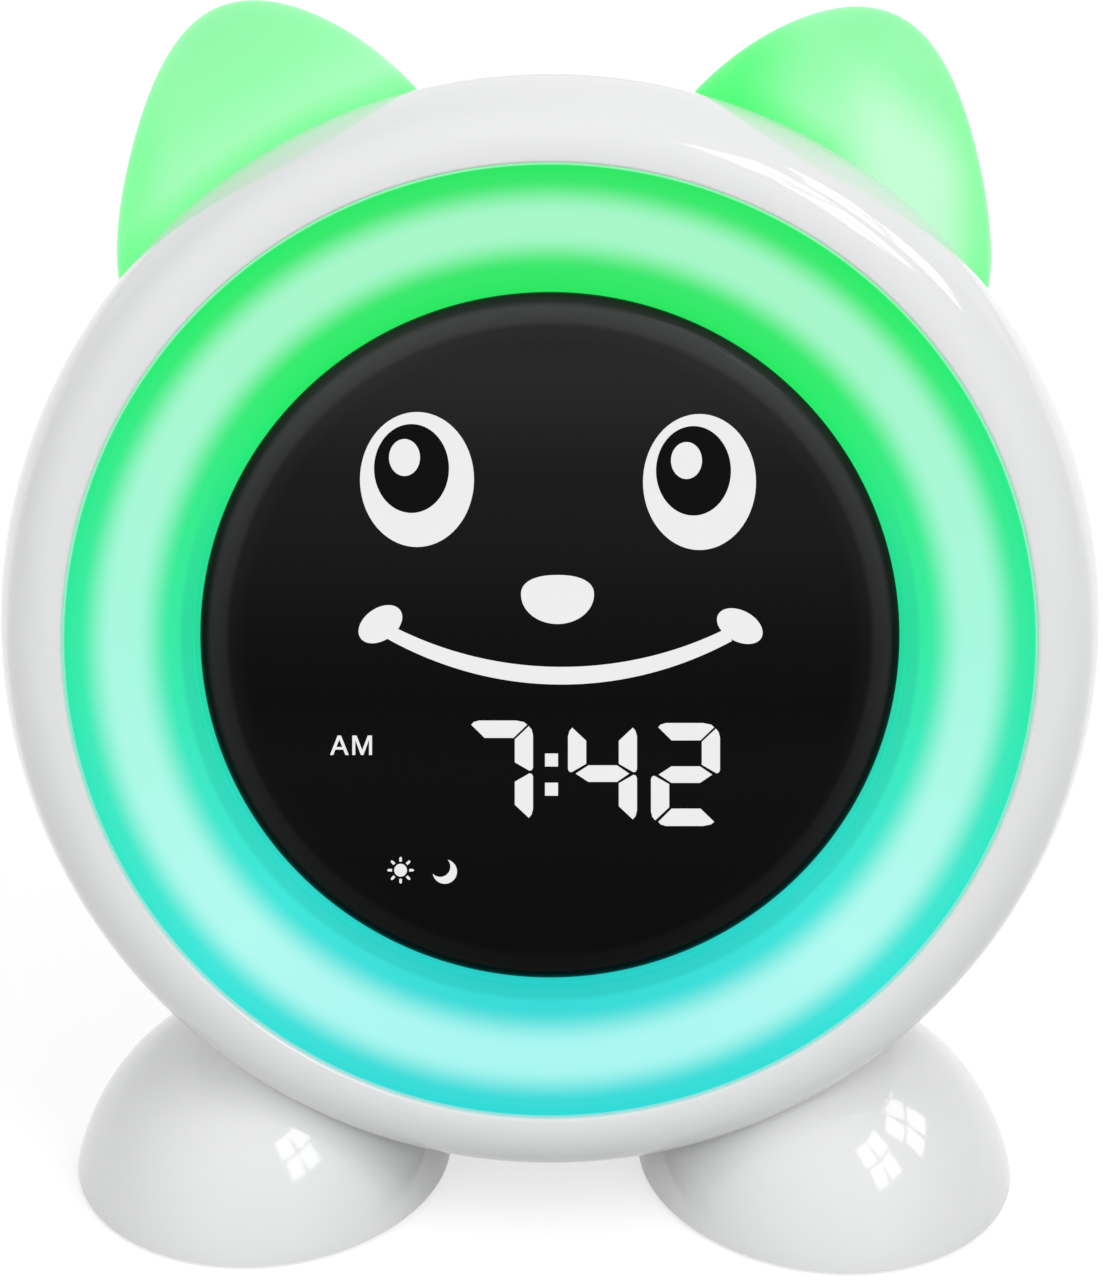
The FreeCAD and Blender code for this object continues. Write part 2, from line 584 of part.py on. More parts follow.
for turn in BUTTONS.values():
    across, along = around(size["button_circle"], turn)
    cuts.append(rod(button_hole, -size["back_depth"] - 1, INNER_BACK + 1, across, along))
pitch = size["grille_pitch"]
for row in range(-3, 4):
    for column in range(-4, 5):
        across = (column + (row % 2) / 2) * pitch
        along = row * pitch * math.sin(math.radians(60))
        if math.hypot(across, along) < size["speaker_radius"] - 2.5:
            cuts.append(rod(size["grille_hole"], -size["back_depth"] - 1, INNER_BACK + 1,
                            across, along + speaker_y))
usb_y = -size["usb_drop"]
USB_GAP = 0.3


def stadium(wide, tall, low, high, along):
    """A slot shape with round ends, centred across the body."""
    flat = wide - tall
    bar = brick(flat, tall, low, high, 0, along)
    ends = [rod(tall / 2, low, high, side * flat / 2, along) for side in (-1, 1)]
    return bar.multiFuse(ends).removeSplitter()


cuts.append(stadium(size["usb_wide"] + 2 * USB_GAP, size["usb_tall"] + 2 * USB_GAP,
                    -size["back_depth"] - 1, INNER_BACK + 1, usb_y))
cuts.append(stadium(size["usb_wide"] + 4, size["usb_tall"] + 3.4, -size["back_depth"] - 1,
                    -size["back_depth"] + 0.7, usb_y))

# Ears: bowed, leaning ovals with a hollow inside and a spigot that passes the rear shell.
EAR_STEPS = (-78, -60, -40, -20, 0, 20, 40, 55, 68, 78, 85)


def ear_centre(side, share):
    lean = math.radians(size["ear_lean"])
    rise = share * size["ear_half_height"]
    bow = -size["ear_bow"] * share ** 2
    across = -size["ear_across"] + rise * math.sin(lean) + bow * math.cos(lean)
    along = size["ear_up"] + rise * math.cos(lean) - bow * math.sin(lean)
    return Vector(-side * across, along, -size["ear_back"])


def ear_blob(side, inset):
    lean = math.radians(size["ear_lean"])
    axis = Vector(-side * math.sin(lean), math.cos(lean), 0)
    cross = Vector(math.cos(lean), side * math.sin(lean), 0)
    slices = []
    for step in EAR_STEPS:
        share = math.sin(math.radians(step)) * (1 - inset / size["ear_half_height"])
        reach = math.cos(math.radians(step))
        spot = ear_centre(side, share)
        wide = (size["ear_half_width"] - inset) * reach
        deep = (size["ear_half_depth"] - inset) * reach
        oval = Part.Ellipse(spot + cross * wide, spot + UP * deep, spot)
        slices.append(Part.Wire(oval.toShape()))
    return Part.makeLoft(slices, True, False)


def ear_spigot(side, radius, top, foot):
    """A rod at the ear's root, square to the shell's face, from a foot inside it to a top outside."""
    turn = math.asin(size["ear_back"] / size["flank_radius"])
    sideways = Vector(side * size["ear_across"], size["ear_up"], 0).normalize()
    outward = sideways * math.cos(turn) - UP * math.sin(turn)
    root = sideways * (size["body_radius"] - size["flank_radius"]) + outward * size["flank_radius"]
    return Part.makeCylinder(radius, foot + top, root - outward * foot, outward)


grown = envelope("0 - curved_gap")
spigot_foot = size["spigot_length"]
SPIGOT_WALL, EAR_CLEAR, CLIP_WIDE, CLIP_THICK = 1.5, 0.15, 2.2, 1.5
clip_reach = size["spigot_radius"] + CLIP_WIDE
clip_drop = WALL + clip_reach ** 2 / (2 * (size["flank_radius"] - WALL)) + 0.2
ear_led_boards, ear_lamps, ear_clips = [], [], []
for side, name in ((-1, "ear_left"), (1, "ear_right")):
    cap = ear_blob(side, 0).cut(grown)
    hollow = ear_blob(side, size["ear_wall"]).cut(envelope("0 - curved_gap - ear_wall"))
    spigot = ear_spigot(side, size["spigot_radius"], 3, spigot_foot)
    bore = ear_spigot(side, size["spigot_radius"] - SPIGOT_WALL, 6, spigot_foot + 1)
    solid_node(name, cap.fuse(spigot).cut(hollow).cut(bore))
    cuts.append(ear_spigot(side, size["spigot_radius"] + EAR_CLEAR, 6, spigot_foot + 4))
    ear_led_boards.append(ear_spigot(side, size["spigot_radius"], -spigot_foot, spigot_foot + 1))
    ear_lamps.append(ear_spigot(side, 2, -spigot_foot + 1.2, spigot_foot))
    clip = ear_spigot(side, clip_reach, -clip_drop, clip_drop + CLIP_THICK)
    ear_clips.append(clip.cut(ear_spigot(side, size["spigot_radius"] + EAR_CLEAR, 6, spigot_foot + 4)))
solid_node("ear_clips", Part.makeCompound(ear_clips))
solid_node("ear_boards", Part.makeCompound(ear_led_boards))
solid_node("ear_leds", Part.makeCompound(ear_lamps))
for piece in cuts:
    rear = rear.cut(piece)
solid_node("rear_shell", rear)

# Shell screws in their wells, and the small screws of the frame.
screws, small_screws = [], []
for index in range(int(size["screw_count"])):
    across, along = around(size["screw_circle"], index * 360 / size["screw_count"])
    head = rod(size["head_radius"], seat_depth - size["head_height"], seat_depth, across, along)
    shank = rod(size["shank_radius"], seat_depth, size["post_top"] - 1.2, across, along)
    screws.append(head.fuse(shank).removeSplitter())
    across, along = around(size["ledge_circle"], 45 + index * 360 / size["screw_count"])
    back = size["frame_back"]
    head = rod(size["small_head"], back - size["small_head_height"], back, across, along)
    shank = rod(size["small_shank"], back, size["ring_board_back"], across, along)
    small_screws.append(head.fuse(shank).removeSplitter())
solid_node("shell_screws", Part.makeCompound(screws))
solid_node("frame_screws", Part.makeCompound(small_screws))

# Main board behind the flat back, with its screws, chip, switches, cell and inlet socket.
board_front = (size["board_standoff"] - size["back_depth"])
board = rod(size["main_board_radius"], board_back, board_front)
board = board.cut(rod(size["speaker_radius"] + 1, board_back, board_front, 0, speaker_y))
board_screws = []
for turn in BOARD_POST_TURNS:
    across, along = around(size["board_post_circle"], turn)
    board = board.cut(rod(size["small_shank"] + 0.15, board_back, board_front, across, along))
    head = rod(size["small_head"], board_front, board_front + size["small_head_height"], across, along)
    shank = rod(size["small_shank"], board_back - 4, board_front, across, along)
    board_screws.append(head.fuse(shank).removeSplitter())
solid_node("main_board", board)
solid_node("board_screws", Part.makeCompound(board_screws))
solid_node("processor_chip", brick(9, 9, board_front, board_front + 1.2, -20, 8))
solid_node("cell_holder", rod(11, board_front, board_front + 2, 15, 16).cut(
    rod(10.1, board_front + 0.6, board_front + 2, 15, 16)))
solid_node("backup_cell", rod(10, board_front + 0.6, board_front + 3.8, 15, 16))
USB_SINK = 0.9
socket = stadium(size["usb_wide"], size["usb_tall"], -size["back_depth"] + USB_SINK, board_back, usb_y)
mouth = stadium(size["usb_wide"] - 0.7, size["usb_tall"] - 0.7, -size["back_depth"] + USB_SINK,
                board_back - 1.2, usb_y)
tongue = brick(6.6, 0.7, -size["back_depth"] + USB_SINK + 0.8, board_back - 1, 0, usb_y)
solid_node("usb_socket", socket.cut(mouth).fuse(tongue).removeSplitter())
switches = []
switch_face = board_back - size["switch_height"]
for turn in BUTTONS.values():
    across, along = around(size["button_circle"], turn)
    switches.append(brick(6, 6, switch_face + 0.7, board_back, across, along).fuse(
        rod(1.7, switch_face, board_back, across, along)).removeSplitter())
solid_node("tact_switches", Part.makeCompound(switches))

# Buttons: a domed cap through the back, a flange inside it and a stem to the switch.
flange_back = INNER_BACK + 0.1
flange_front = flange_back + size["flange_thick"]
for name, turn in BUTTONS.items():
    across, along = around(size["button_circle"], turn)
    cap = rod(size["button_radius"], -size["back_depth"] - size["button_proud"], flange_back, across, along)
    rim = [edge for edge in cap.Edges
           if abs(edge.BoundBox.ZMax + size["back_depth"] + size["button_proud"]) < 1e-6]
    cap = cap.makeFillet(size["button_proud"] * 0.6, rim)
    flange = rod(size["button_radius"] + size["flange_wide"], flange_back, flange_front, across, along)
    stem = rod(1.5, flange_front, switch_face - size["button_travel"] - 0.1, across, along)
    solid_node(name, cap.multiFuse([flange, stem]).removeSplitter())

# Speaker behind the sound holes.
cone_radius = size["speaker_radius"] - 1.5
speaker_front = INNER_BACK + 0.4
speaker_end = speaker_front + size["speaker_depth"]
solid_node("speaker_gasket", rod(size["speaker_radius"], INNER_BACK, speaker_front, 0, speaker_y).cut(
    rod(cone_radius, INNER_BACK, speaker_front, 0, speaker_y)))
basket = Part.makeCone(size["speaker_radius"], 7, 5, Vector(0, speaker_y, speaker_front + 1.2))
basket = basket.fuse(rod(size["speaker_radius"], speaker_front, speaker_front + 1.2, 0, speaker_y))
well = Part.makeCone(cone_radius, 5.2, 6.2, Vector(0, speaker_y, speaker_front))
solid_node("speaker_frame", basket.cut(well).removeSplitter())
CONE_GAP = 0.8                      # keeps the paper clear of the narrowing basket
cone = Part.makeCone(cone_radius - CONE_GAP, 3, 3.4, Vector(0, speaker_y, speaker_front + 0.8))
hollow = Part.makeCone(cone_radius - 0.8, 2.4, 3.4, Vector(0, speaker_y, speaker_front + 0.3))
solid_node("speaker_cone", cone.cut(hollow))
solid_node("speaker_magnet", rod(6.2, speaker_front + 6.2, speaker_end, 0, speaker_y))

# Battery in its cradle, which hangs from the inner frame.
cell_y, cell_z = -size["battery_drop"], -size["battery_depth"]
cell_radius, cell_half = size["battery_radius"], size["battery_length"] / 2
solid_node("battery_cell", Part.makeCylinder(cell_radius, 2 * cell_half, Vector(-cell_half, cell_y, cell_z), RIGHT))
CRADLE_WALL, CRADLE_TOP, ARM_REACH = 1.8, -7.2, 48
cradle = brick(2 * (cell_half + 0.2 + CRADLE_WALL), 2 * (cell_radius + 0.2 + CRADLE_WALL),
               cell_z - 3, CRADLE_TOP, 0, cell_y)
trough = Part.makeCylinder(cell_radius + 0.2, 2 * cell_half + 0.4, Vector(-cell_half - 0.2, cell_y, cell_z), RIGHT)
slot = brick(2 * cell_half + 0.4, 2 * cell_radius + 0.4, cell_z - 4, cell_z, 0, cell_y)
cradle = cradle.cut(trough).cut(slot)
arms = brick(2 * ARM_REACH, 8, CRADLE_TOP - 2, CRADLE_TOP, 0, cell_y).cut(trough)
legs = [rod(2.8, CRADLE_TOP - 2, size["frame_back"], side * (ARM_REACH - 3.5), cell_y) for side in (-1, 1)]
solid_node("battery_cradle", cradle.multiFuse([arms] + legs).removeSplitter())

# Feet: leaning-out oval domes, cut to the casing, each with a sole plate, pads and screws.
FOOT_TURN = {-1: -size["toe_out"], 1: size["toe_out"]}


def foot_blob(side, inset):
    ball = Part.makeSphere(1)
    matrix = FreeCAD.Matrix()
    matrix.scale(size["foot_half_width"] - inset, size["foot_half_length"] - inset,
                 size["foot_half_height"] - inset)
    blob = ball.transformGeometry(matrix)
    blob.rotate(Vector(0, 0, 0), UP, FOOT_TURN[side])
    blob.translate(Vector(side * foot_x, foot_y, -size["foot_sunk"]))
    return blob


def slab(low, high):
    return Part.makeBox(200, 200, high - low, Vector(-100, -100, low))


def leaning(shape):
    shape.Placement = TILTED
    return shape


lift, sole_top = size["foot_lift"], size["foot_lift"] + size["sole_thick"]
clear_body = leaning(envelope("0 - curved_gap"))
clear_foot = leaning(envelope("0 - curved_gap - foot_wall"))
pads, foot_screws, sole_screws = [], [], []
for side, word in ((-1, "left"), (1, "right")):
    dome = foot_blob(side, 0).common(slab(lift, 40)).cut(clear_body)
    hollow = foot_blob(side, size["foot_wall"]).common(slab(lift, 40)).cut(clear_foot)
    column = rod(FOOT_POST, sole_top, 30, side * foot_x, foot_post_y).common(foot_blob(side, 1)).cut(clear_body)
    foot = dome.cut(hollow).fuse(column)
    foot = foot.cut(rod(size["shank_radius"] + size["screw_clearance"], 7, 30, side * foot_x, foot_post_y))
    foot = foot.cut(rod(size["small_shank"] + size["screw_clearance"], sole_top, 6, side * foot_x, foot_post_y))
    solid_node("foot_" + word, foot, False)
    sole = foot_blob(side, size["foot_wall"] + 0.1).common(slab(lift, sole_top))
    sole = sole.cut(rod(size["small_shank"] + 0.15, lift, sole_top, side * foot_x, foot_post_y))
    sole = sole.cut(rod(size["small_head"] + 0.2, lift, lift + 1.3, side * foot_x, foot_post_y))
    shift = Vector(0, size["pad_spread"], 0)
    for end in (-1, 1):
        spot = Rotation(UP, FOOT_TURN[side]).multVec(shift * end) + Vector(side * foot_x, foot_y, 0)
        pads.append(rod(size["pad_radius"], 0, size["pad_thick"], spot.x, spot.y))
        sole = sole.cut(rod(size["pad_radius"] + 0.1, lift, size["pad_thick"], spot.x, spot.y))
    solid_node("sole_plate_" + word, sole, False)
    head = rod(size["head_radius"], FOOT_BOSS_TOP, FOOT_BOSS_TOP + size["head_height"], side * foot_x, foot_post_y)
    foot_screws.append(head.fuse(rod(size["shank_radius"], 8, FOOT_BOSS_TOP, side * foot_x, foot_post_y)))
    head = rod(size["small_head"], lift + 0.1, lift + 1.3, side * foot_x, foot_post_y)
    sole_screws.append(head.fuse(rod(size["small_shank"], lift + 1.3, 5.5, side * foot_x, foot_post_y)))
solid_node("foot_pads", Part.makeCompound(pads), False)
solid_node("foot_screws", Part.makeCompound(foot_screws), False)
solid_node("sole_screws", Part.makeCompound(sole_screws), False)

doc.recompute()
for item in doc.Objects:
    if "Invalid" in item.State or "Error" in item.State:
        raise RuntimeError("%s did not rebuild: %s" % (item.Label, item.State))
os.makedirs("parts", exist_ok=True)
for piece in NODES:
    if piece.Shape.isNull() or not piece.Shape.isValid():
        raise RuntimeError(piece.Label + " has no valid shape")
    piece.Shape.exportStep("parts/%s.step" % piece.Label)
    print(piece.Label, len(piece.Shape.Solids), "%.1f" % piece.Shape.Volume)
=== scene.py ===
import math
import json

import bmesh
import bpy
from mathutils import Matrix, Vector


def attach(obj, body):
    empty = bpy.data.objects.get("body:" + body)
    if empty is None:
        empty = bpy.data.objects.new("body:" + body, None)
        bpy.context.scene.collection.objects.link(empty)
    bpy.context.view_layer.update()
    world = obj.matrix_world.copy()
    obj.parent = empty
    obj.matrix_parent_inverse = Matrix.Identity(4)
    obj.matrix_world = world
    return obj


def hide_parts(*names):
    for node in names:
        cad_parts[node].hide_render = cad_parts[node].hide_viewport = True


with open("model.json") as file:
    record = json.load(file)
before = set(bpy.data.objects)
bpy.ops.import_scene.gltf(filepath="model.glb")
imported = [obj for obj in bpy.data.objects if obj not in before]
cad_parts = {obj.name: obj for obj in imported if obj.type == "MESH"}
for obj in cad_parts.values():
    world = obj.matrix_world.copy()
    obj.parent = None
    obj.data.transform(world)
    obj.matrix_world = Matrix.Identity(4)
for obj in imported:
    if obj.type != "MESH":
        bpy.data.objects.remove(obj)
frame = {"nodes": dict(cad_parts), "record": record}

bl_info = {
    "name": "Night Light Clock",
    "version": (1, 0, 0),
    "blender": (4, 5, 0),
    "location": "View3D > Sidebar > Clock",
    "description": "Dresses the bedside clock: shells, light ring, lens, face, ears, feet and studio",
    "category": "Object",
}

MM = 0.001
CASING = "casing"
BLACK, WHITE = (0, 0, 0, 1), (1, 1, 1, 1)
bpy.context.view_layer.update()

# The photograph's viewpoint: a long lens above the table, with a slight roll. Angles are in
# degrees, the reach and the point aimed at (across, up) in millimetres, the rest in pixels.
CAMERA_PITCH, CAMERA_REACH, CAMERA_ROLL = 23.76, 560.0, 0.60
CAMERA_AIM = (0.19, 65.86)
CAMERA_PIXELS = 4709.0
PHOTO_TALL = 1280.0
PHOTO_MIDDLE = (551.5, 640.0)
SENSOR = 36.0                      # millimetres


class ClockShape(bpy.types.PropertyGroup):
    """Sizes of the visible forms, in millimetres and degrees."""
    body_radius: bpy.props.FloatProperty(name="Body radius", description="Casing at its seam", default=65.0)
    flank_radius: bpy.props.FloatProperty(name="Flank radius", description="Side curve", default=38.0)
    nose_angle: bpy.props.FloatProperty(name="Nose angle", description="Where the lip begins", default=18.0)
    bezel_height: bpy.props.FloatProperty(name="Bezel height", description="Front lip", default=16.0)
    wall: bpy.props.FloatProperty(name="Wall", description="Shell thickness", default=2.2)
    seam_gap: bpy.props.FloatProperty(name="Seam gap", description="Line between shells", default=0.3)
    tilt: bpy.props.FloatProperty(name="Tilt", description="How far the face leans back", default=12.0)
    centre_height: bpy.props.FloatProperty(name="Centre height", description="Above the table", default=68.0)
    centre_back: bpy.props.FloatProperty(name="Centre back", description="Along Y", default=-6.49)
    lip_radius: bpy.props.FloatProperty(name="Lip radius", description="Bezel opening", default=56.4)
    ring_front: bpy.props.FloatProperty(name="Ring front", description="Outer edge depth", default=15.3)
    ring_inner_front: bpy.props.FloatProperty(name="Ring inner front", description="Inner edge", default=11.2)
    ring_inner_radius: bpy.props.FloatProperty(name="Ring inner radius", description="By lens", default=41.6)
    ring_crown: bpy.props.FloatProperty(name="Ring crown", description="How far it bulges", default=0.8)
    lens_radius: bpy.props.FloatProperty(name="Lens radius", description="Lens edge", default=40.8)
    lens_back: bpy.props.FloatProperty(name="Lens back", description="Rear face depth", default=8.9)
    lens_round: bpy.props.FloatProperty(name="Lens round", description="Rolled edge width", default=3.4)
    lens_shoulder: bpy.props.FloatProperty(name="Lens shoulder", description="Top of the roll", default=11.55)
    lens_crown: bpy.props.FloatProperty(name="Lens crown", description="Middle of the lens", default=12.6)
    ear_across: bpy.props.FloatProperty(name="Ear across", description="Ear middle", default=30.4)
    ear_up: bpy.props.FloatProperty(name="Ear up", description="Ear middle", default=48.6)
    ear_back: bpy.props.FloatProperty(name="Ear back", description="Behind the seam", default=13.0)
    ear_half_width: bpy.props.FloatProperty(name="Ear half width", description="Across", default=20.85)
    ear_half_height: bpy.props.FloatProperty(name="Ear half height", description="Along", default=22.1)
    ear_half_depth: bpy.props.FloatProperty(name="Ear half depth", description="Front to back", default=11.5)
    ear_lean: bpy.props.FloatProperty(name="Ear lean", description="Towards the middle", default=14.0)
    ear_bow: bpy.props.FloatProperty(name="Ear bow", description="Outward curl", default=6.95)
    foot_across: bpy.props.FloatProperty(name="Foot across", description="Foot middle", default=34.3)
    foot_forward: bpy.props.FloatProperty(name="Foot forward", description="Ahead of the body", default=7.6)
    foot_sunk: bpy.props.FloatProperty(name="Foot sunk", description="Dome centre under table", default=6.4)
    foot_half_width: bpy.props.FloatProperty(name="Foot half width", description="Across", default=23.5)
    foot_half_length: bpy.props.FloatProperty(name="Foot half length", description="Along", default=28.8)
    foot_half_height: bpy.props.FloatProperty(name="Foot half height", description="Up", default=26.0)
    toe_out: bpy.props.FloatProperty(name="Toe out", description="How far the feet splay", default=8.5)
    foot_lift: bpy.props.FloatProperty(name="Foot lift", description="Rim above the table", default=0.3)
    steps: bpy.props.IntProperty(name="Steps", description="Divisions round the body", default=288, min=24)


def colour_property(name, description, red, green, blue):
    return bpy.props.FloatVectorProperty(name=name, description=description, subtype="COLOR", size=3,
                                         min=0, max=1, default=(red, green, blue))


class ClockFinish(bpy.types.PropertyGroup):
    """Colours of the visible finishes, as linear values."""
    shell: colour_property("Shell", "Polished white moulding", 0.75, 0.75, 0.75)
    sign: colour_property("Signs", "Lit face and time", 0.84, 0.84, 0.84)
    rubber: colour_property("Pads", "Non-slip rubber", 0.42, 0.42, 0.41)
    board: colour_property("Boards", "Solder mask", 0.012, 0.12, 0.05)


def shape():
    return bpy.context.scene.clock_shape


def finish():
    return bpy.context.scene.clock_finish


def srgb(red, green, blue):
    """A screen colour out of 255 as a linear one with full alpha."""
    def linear(level):
        level /= 255
        return level / 12.92 if level <= 0.04045 else ((level + 0.055) / 1.055) ** 2.4
    return linear(red), linear(green), linear(blue), 1.0


def grey(level):
    return level, level, level, 1


def leaned(across, up, depth):
    """A point of the leaning body, in millimetres about its centre, as a place in metres."""
    lean = math.radians(shape().tilt)
    back = shape().centre_back - depth * math.cos(lean) + up * math.sin(lean)
    height = shape().centre_height + depth * math.sin(lean) + up * math.cos(lean)
    return Vector((across, back, height)) * MM


def arc(centre, radius, start, stop, count):
    """Points along an arc in the (radius, depth) plane, angles in degrees."""
    points = []
    for index in range(count + 1):
        turn = math.radians(start + (stop - start) * index / count)
        points.append((centre[0] + radius * math.cos(turn), centre[1] + radius * math.sin(turn)))
    return points


def arc_through(first, middle, last, count):
    """Points along the arc that starts, passes and ends at three given points."""
    ax, ay, bx, by, cx, cy = *first, *middle, *last
    twice = 2 * (ax * (by - cy) + bx * (cy - ay) + cx * (ay - by))
    sa, sb, sc = ax * ax + ay * ay, bx * bx + by * by, cx * cx + cy * cy
    ux = (sa * (by - cy) + sb * (cy - ay) + sc * (ay - by)) / twice
    uy = (sa * (cx - bx) + sb * (ax - cx) + sc * (bx - ax)) / twice
    start, stop = math.atan2(ay - uy, ax - ux), math.atan2(cy - uy, cx - ux)
    while stop - start > math.pi:
        stop -= 2 * math.pi
    while start - stop > math.pi:
        stop += 2 * math.pi
    return arc((ux, uy), math.hypot(ax - ux, ay - uy), math.degrees(start), math.degrees(stop), count)


def add_piece(name, mesh, material, body=CASING, sharp=30):
    """Puts a mesh in the scene as a piece that rides on a body."""
    piece = bpy.data.objects.new(name, mesh)
    bpy.context.scene.collection.objects.link(piece)
    mesh.materials.clear()
    mesh.materials.append(material)
    for face in mesh.polygons:
        face.use_smooth = True
    mesh.set_sharp_from_angle(angle=math.radians(sharp))
    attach(piece, body)
    return piece


MERGE_REACH = 1e-7                 # metres
ON_AXIS = 1e-6                     # a radius under this many millimetres counts as none


def mesh_from(name, points, faces):
    """A closed mesh with merged points and outward faces."""
    mesh = bpy.data.meshes.new(name)
    mesh.from_pydata([tuple(point) for point in points], [], faces)
    cleaner = bmesh.new()
    cleaner.from_mesh(mesh)
    bmesh.ops.remove_doubles(cleaner, verts=cleaner.verts, dist=MERGE_REACH)
    bmesh.ops.recalc_face_normals(cleaner, faces=cleaner.faces)
    cleaner.to_mesh(mesh)
    cleaner.free()
    mesh.validate()
    return mesh


def lathe(name, profile):
    """A closed solid turned about the leaning axis from (radius, depth) points."""
    steps = shape().steps
    points, faces = [], []
    for index in range(steps):
        turn = 2 * math.pi * index / steps
        for radius, depth in profile:
            points.append(leaned(radius * math.cos(turn), radius * math.sin(turn), depth))
    count = len(profile)
    for index in range(steps):
        here, there = index * count, (index + 1) % steps * count
        for row in range(count):
            after = (row + 1) % count
            ring = [here + row, there + row, there + after, here + after]
            if profile[row][0] < ON_AXIS and profile[after][0] < ON_AXIS:
                continue
            if profile[row][0] < ON_AXIS:
                ring = [here + row, there + after, here + after]
            elif profile[after][0] < ON_AXIS:
                ring = [here + row, there + row, there + after]
            faces.append(ring)
    return mesh_from(name, points, faces)


NOISE_LOW, NOISE_HIGH = 0.3, 0.7   # the levels that most of a soft noise lies between


class Shade:
    """A material built up node by node."""

    def __init__(self, name, **sockets):
        self.material = bpy.data.materials.new(name)
        self.material.use_nodes = True
        self.tree = self.material.node_tree
        self.surface = self.tree.nodes["Principled BSDF"]
        for socket, value in sockets.items():
            self.surface.inputs[socket.replace("_", " ")].default_value = value

    def node(self, kind, **fields):
        made = self.tree.nodes.new("ShaderNode" + kind)
        for field, value in fields.items():
            setattr(made, field, value)
        return made

    def link(self, source, target):
        self.tree.links.new(source, target)

    def feed(self, target, value):
        if isinstance(value, bpy.types.NodeSocket):
            self.link(value, target)
        else:
            target.default_value = value

    def maths(self, operation, first, second=0.0, third=0.0):
        made = self.node("Math", operation=operation)
        for index, value in enumerate((first, second, third)):
            self.feed(made.inputs[index], value)
        return made.outputs[0]

    def along(self, axis, origin):
        """Distance of each point from an origin along an axis, in millimetres."""
        place = self.node("TexCoord").outputs["Object"]
        shifted = self.node("VectorMath", operation="SUBTRACT")
        self.link(place, shifted.inputs[0])
        shifted.inputs[1].default_value = origin
        dot = self.node("VectorMath", operation="DOT_PRODUCT")
        self.link(shifted.outputs[0], dot.inputs[0])
        dot.inputs[1].default_value = axis
        return self.maths("MULTIPLY", dot.outputs["Value"], 1 / MM)

    def polar(self):
        """Distance from the leaning axis, and height over its level, in millimetres."""
        origin, up = axes()
        across, rise = self.along((1, 0, 0), origin), self.along(up, origin)
        squares = [self.maths("MULTIPLY", reach, reach) for reach in (across, rise)]
        return self.maths("SQRT", self.maths("ADD", *squares)), rise

    def ramp(self, factor, stops, smooth="EASE"):
        made = self.node("ValToRGB")
        made.color_ramp.interpolation = smooth
        marks = made.color_ramp.elements
        while len(marks) < len(stops):
            marks.new(0.5)
        for mark, (place, colour) in zip(marks, stops):
            mark.position = place
            mark.color = colour
        self.feed(made.inputs["Fac"], factor)
        return made.outputs["Color"]

    def blend(self, factor, first, second):
        made = self.node("Mix", data_type="RGBA")
        self.feed(made.inputs["Factor"], factor)
        self.feed(made.inputs[6], first)
        self.feed(made.inputs[7], second)
        return made.outputs[2]

    def noise(self, scale, detail=3.0):
        made = self.node("TexNoise")
        made.inputs["Scale"].default_value = scale
        made.inputs["Detail"].default_value = detail
        self.link(self.node("TexCoord").outputs["Object"], made.inputs["Vector"])
        return made.outputs["Fac"]

    def bump(self, height, strength, distance=0.0001):
        made = self.node("Bump")
        made.inputs["Strength"].default_value = strength
        made.inputs["Distance"].default_value = distance
        self.link(height, made.inputs["Height"])
        self.link(made.outputs["Normal"], self.surface.inputs["Normal"])

    def vary(self, socket, low, high, scale):
        """Moves a socket gently between two values with a soft noise."""
        spread = self.node("MapRange")
        self.link(self.noise(scale), spread.inputs["Value"])
        spread.inputs["From Min"].default_value = NOISE_LOW
        spread.inputs["From Max"].default_value = NOISE_HIGH
        spread.inputs["To Min"].default_value = low
        spread.inputs["To Max"].default_value = high
        self.link(spread.outputs["Result"], self.surface.inputs[socket])

    def tint(self, colour, depth, scale):
        """Lets a colour drift a little lighter and darker over the surface."""
        dark = tuple(level * (1 - depth) for level in colour[:3]) + (1,)
        light = tuple(min(1, level * (1 + depth)) for level in colour[:3]) + (1,)
        self.link(self.blend(self.noise(scale), dark, light), self.surface.inputs["Base Color"])


MADE = {}


def once(maker):
    """Keeps one copy of each material."""
    def wrapped():
        if maker.__name__ not in MADE:
            MADE[maker.__name__] = maker()
        return MADE[maker.__name__]
    return wrapped


@once
def polished_white():
    shade = Shade("polished_white", IOR=1.5, Coat_Weight=0.3, Coat_Roughness=0.02)
    shade.tint(finish().shell, 0.012, 40)
    shade.vary("Roughness", 0.07, 0.11, 90)
    shade.bump(shade.noise(700, 2), 0.03)
    return shade.material


def axes():
    """The middle of the leaning body in metres, and its up direction."""
    lean = math.radians(shape().tilt)
    return leaned(0, 0, 0), (0, math.sin(lean), math.cos(lean))


GLOW_POWER = 0.96
DIFFUSER_GRAIN = 500               # scale of the fine grain of ring and ears


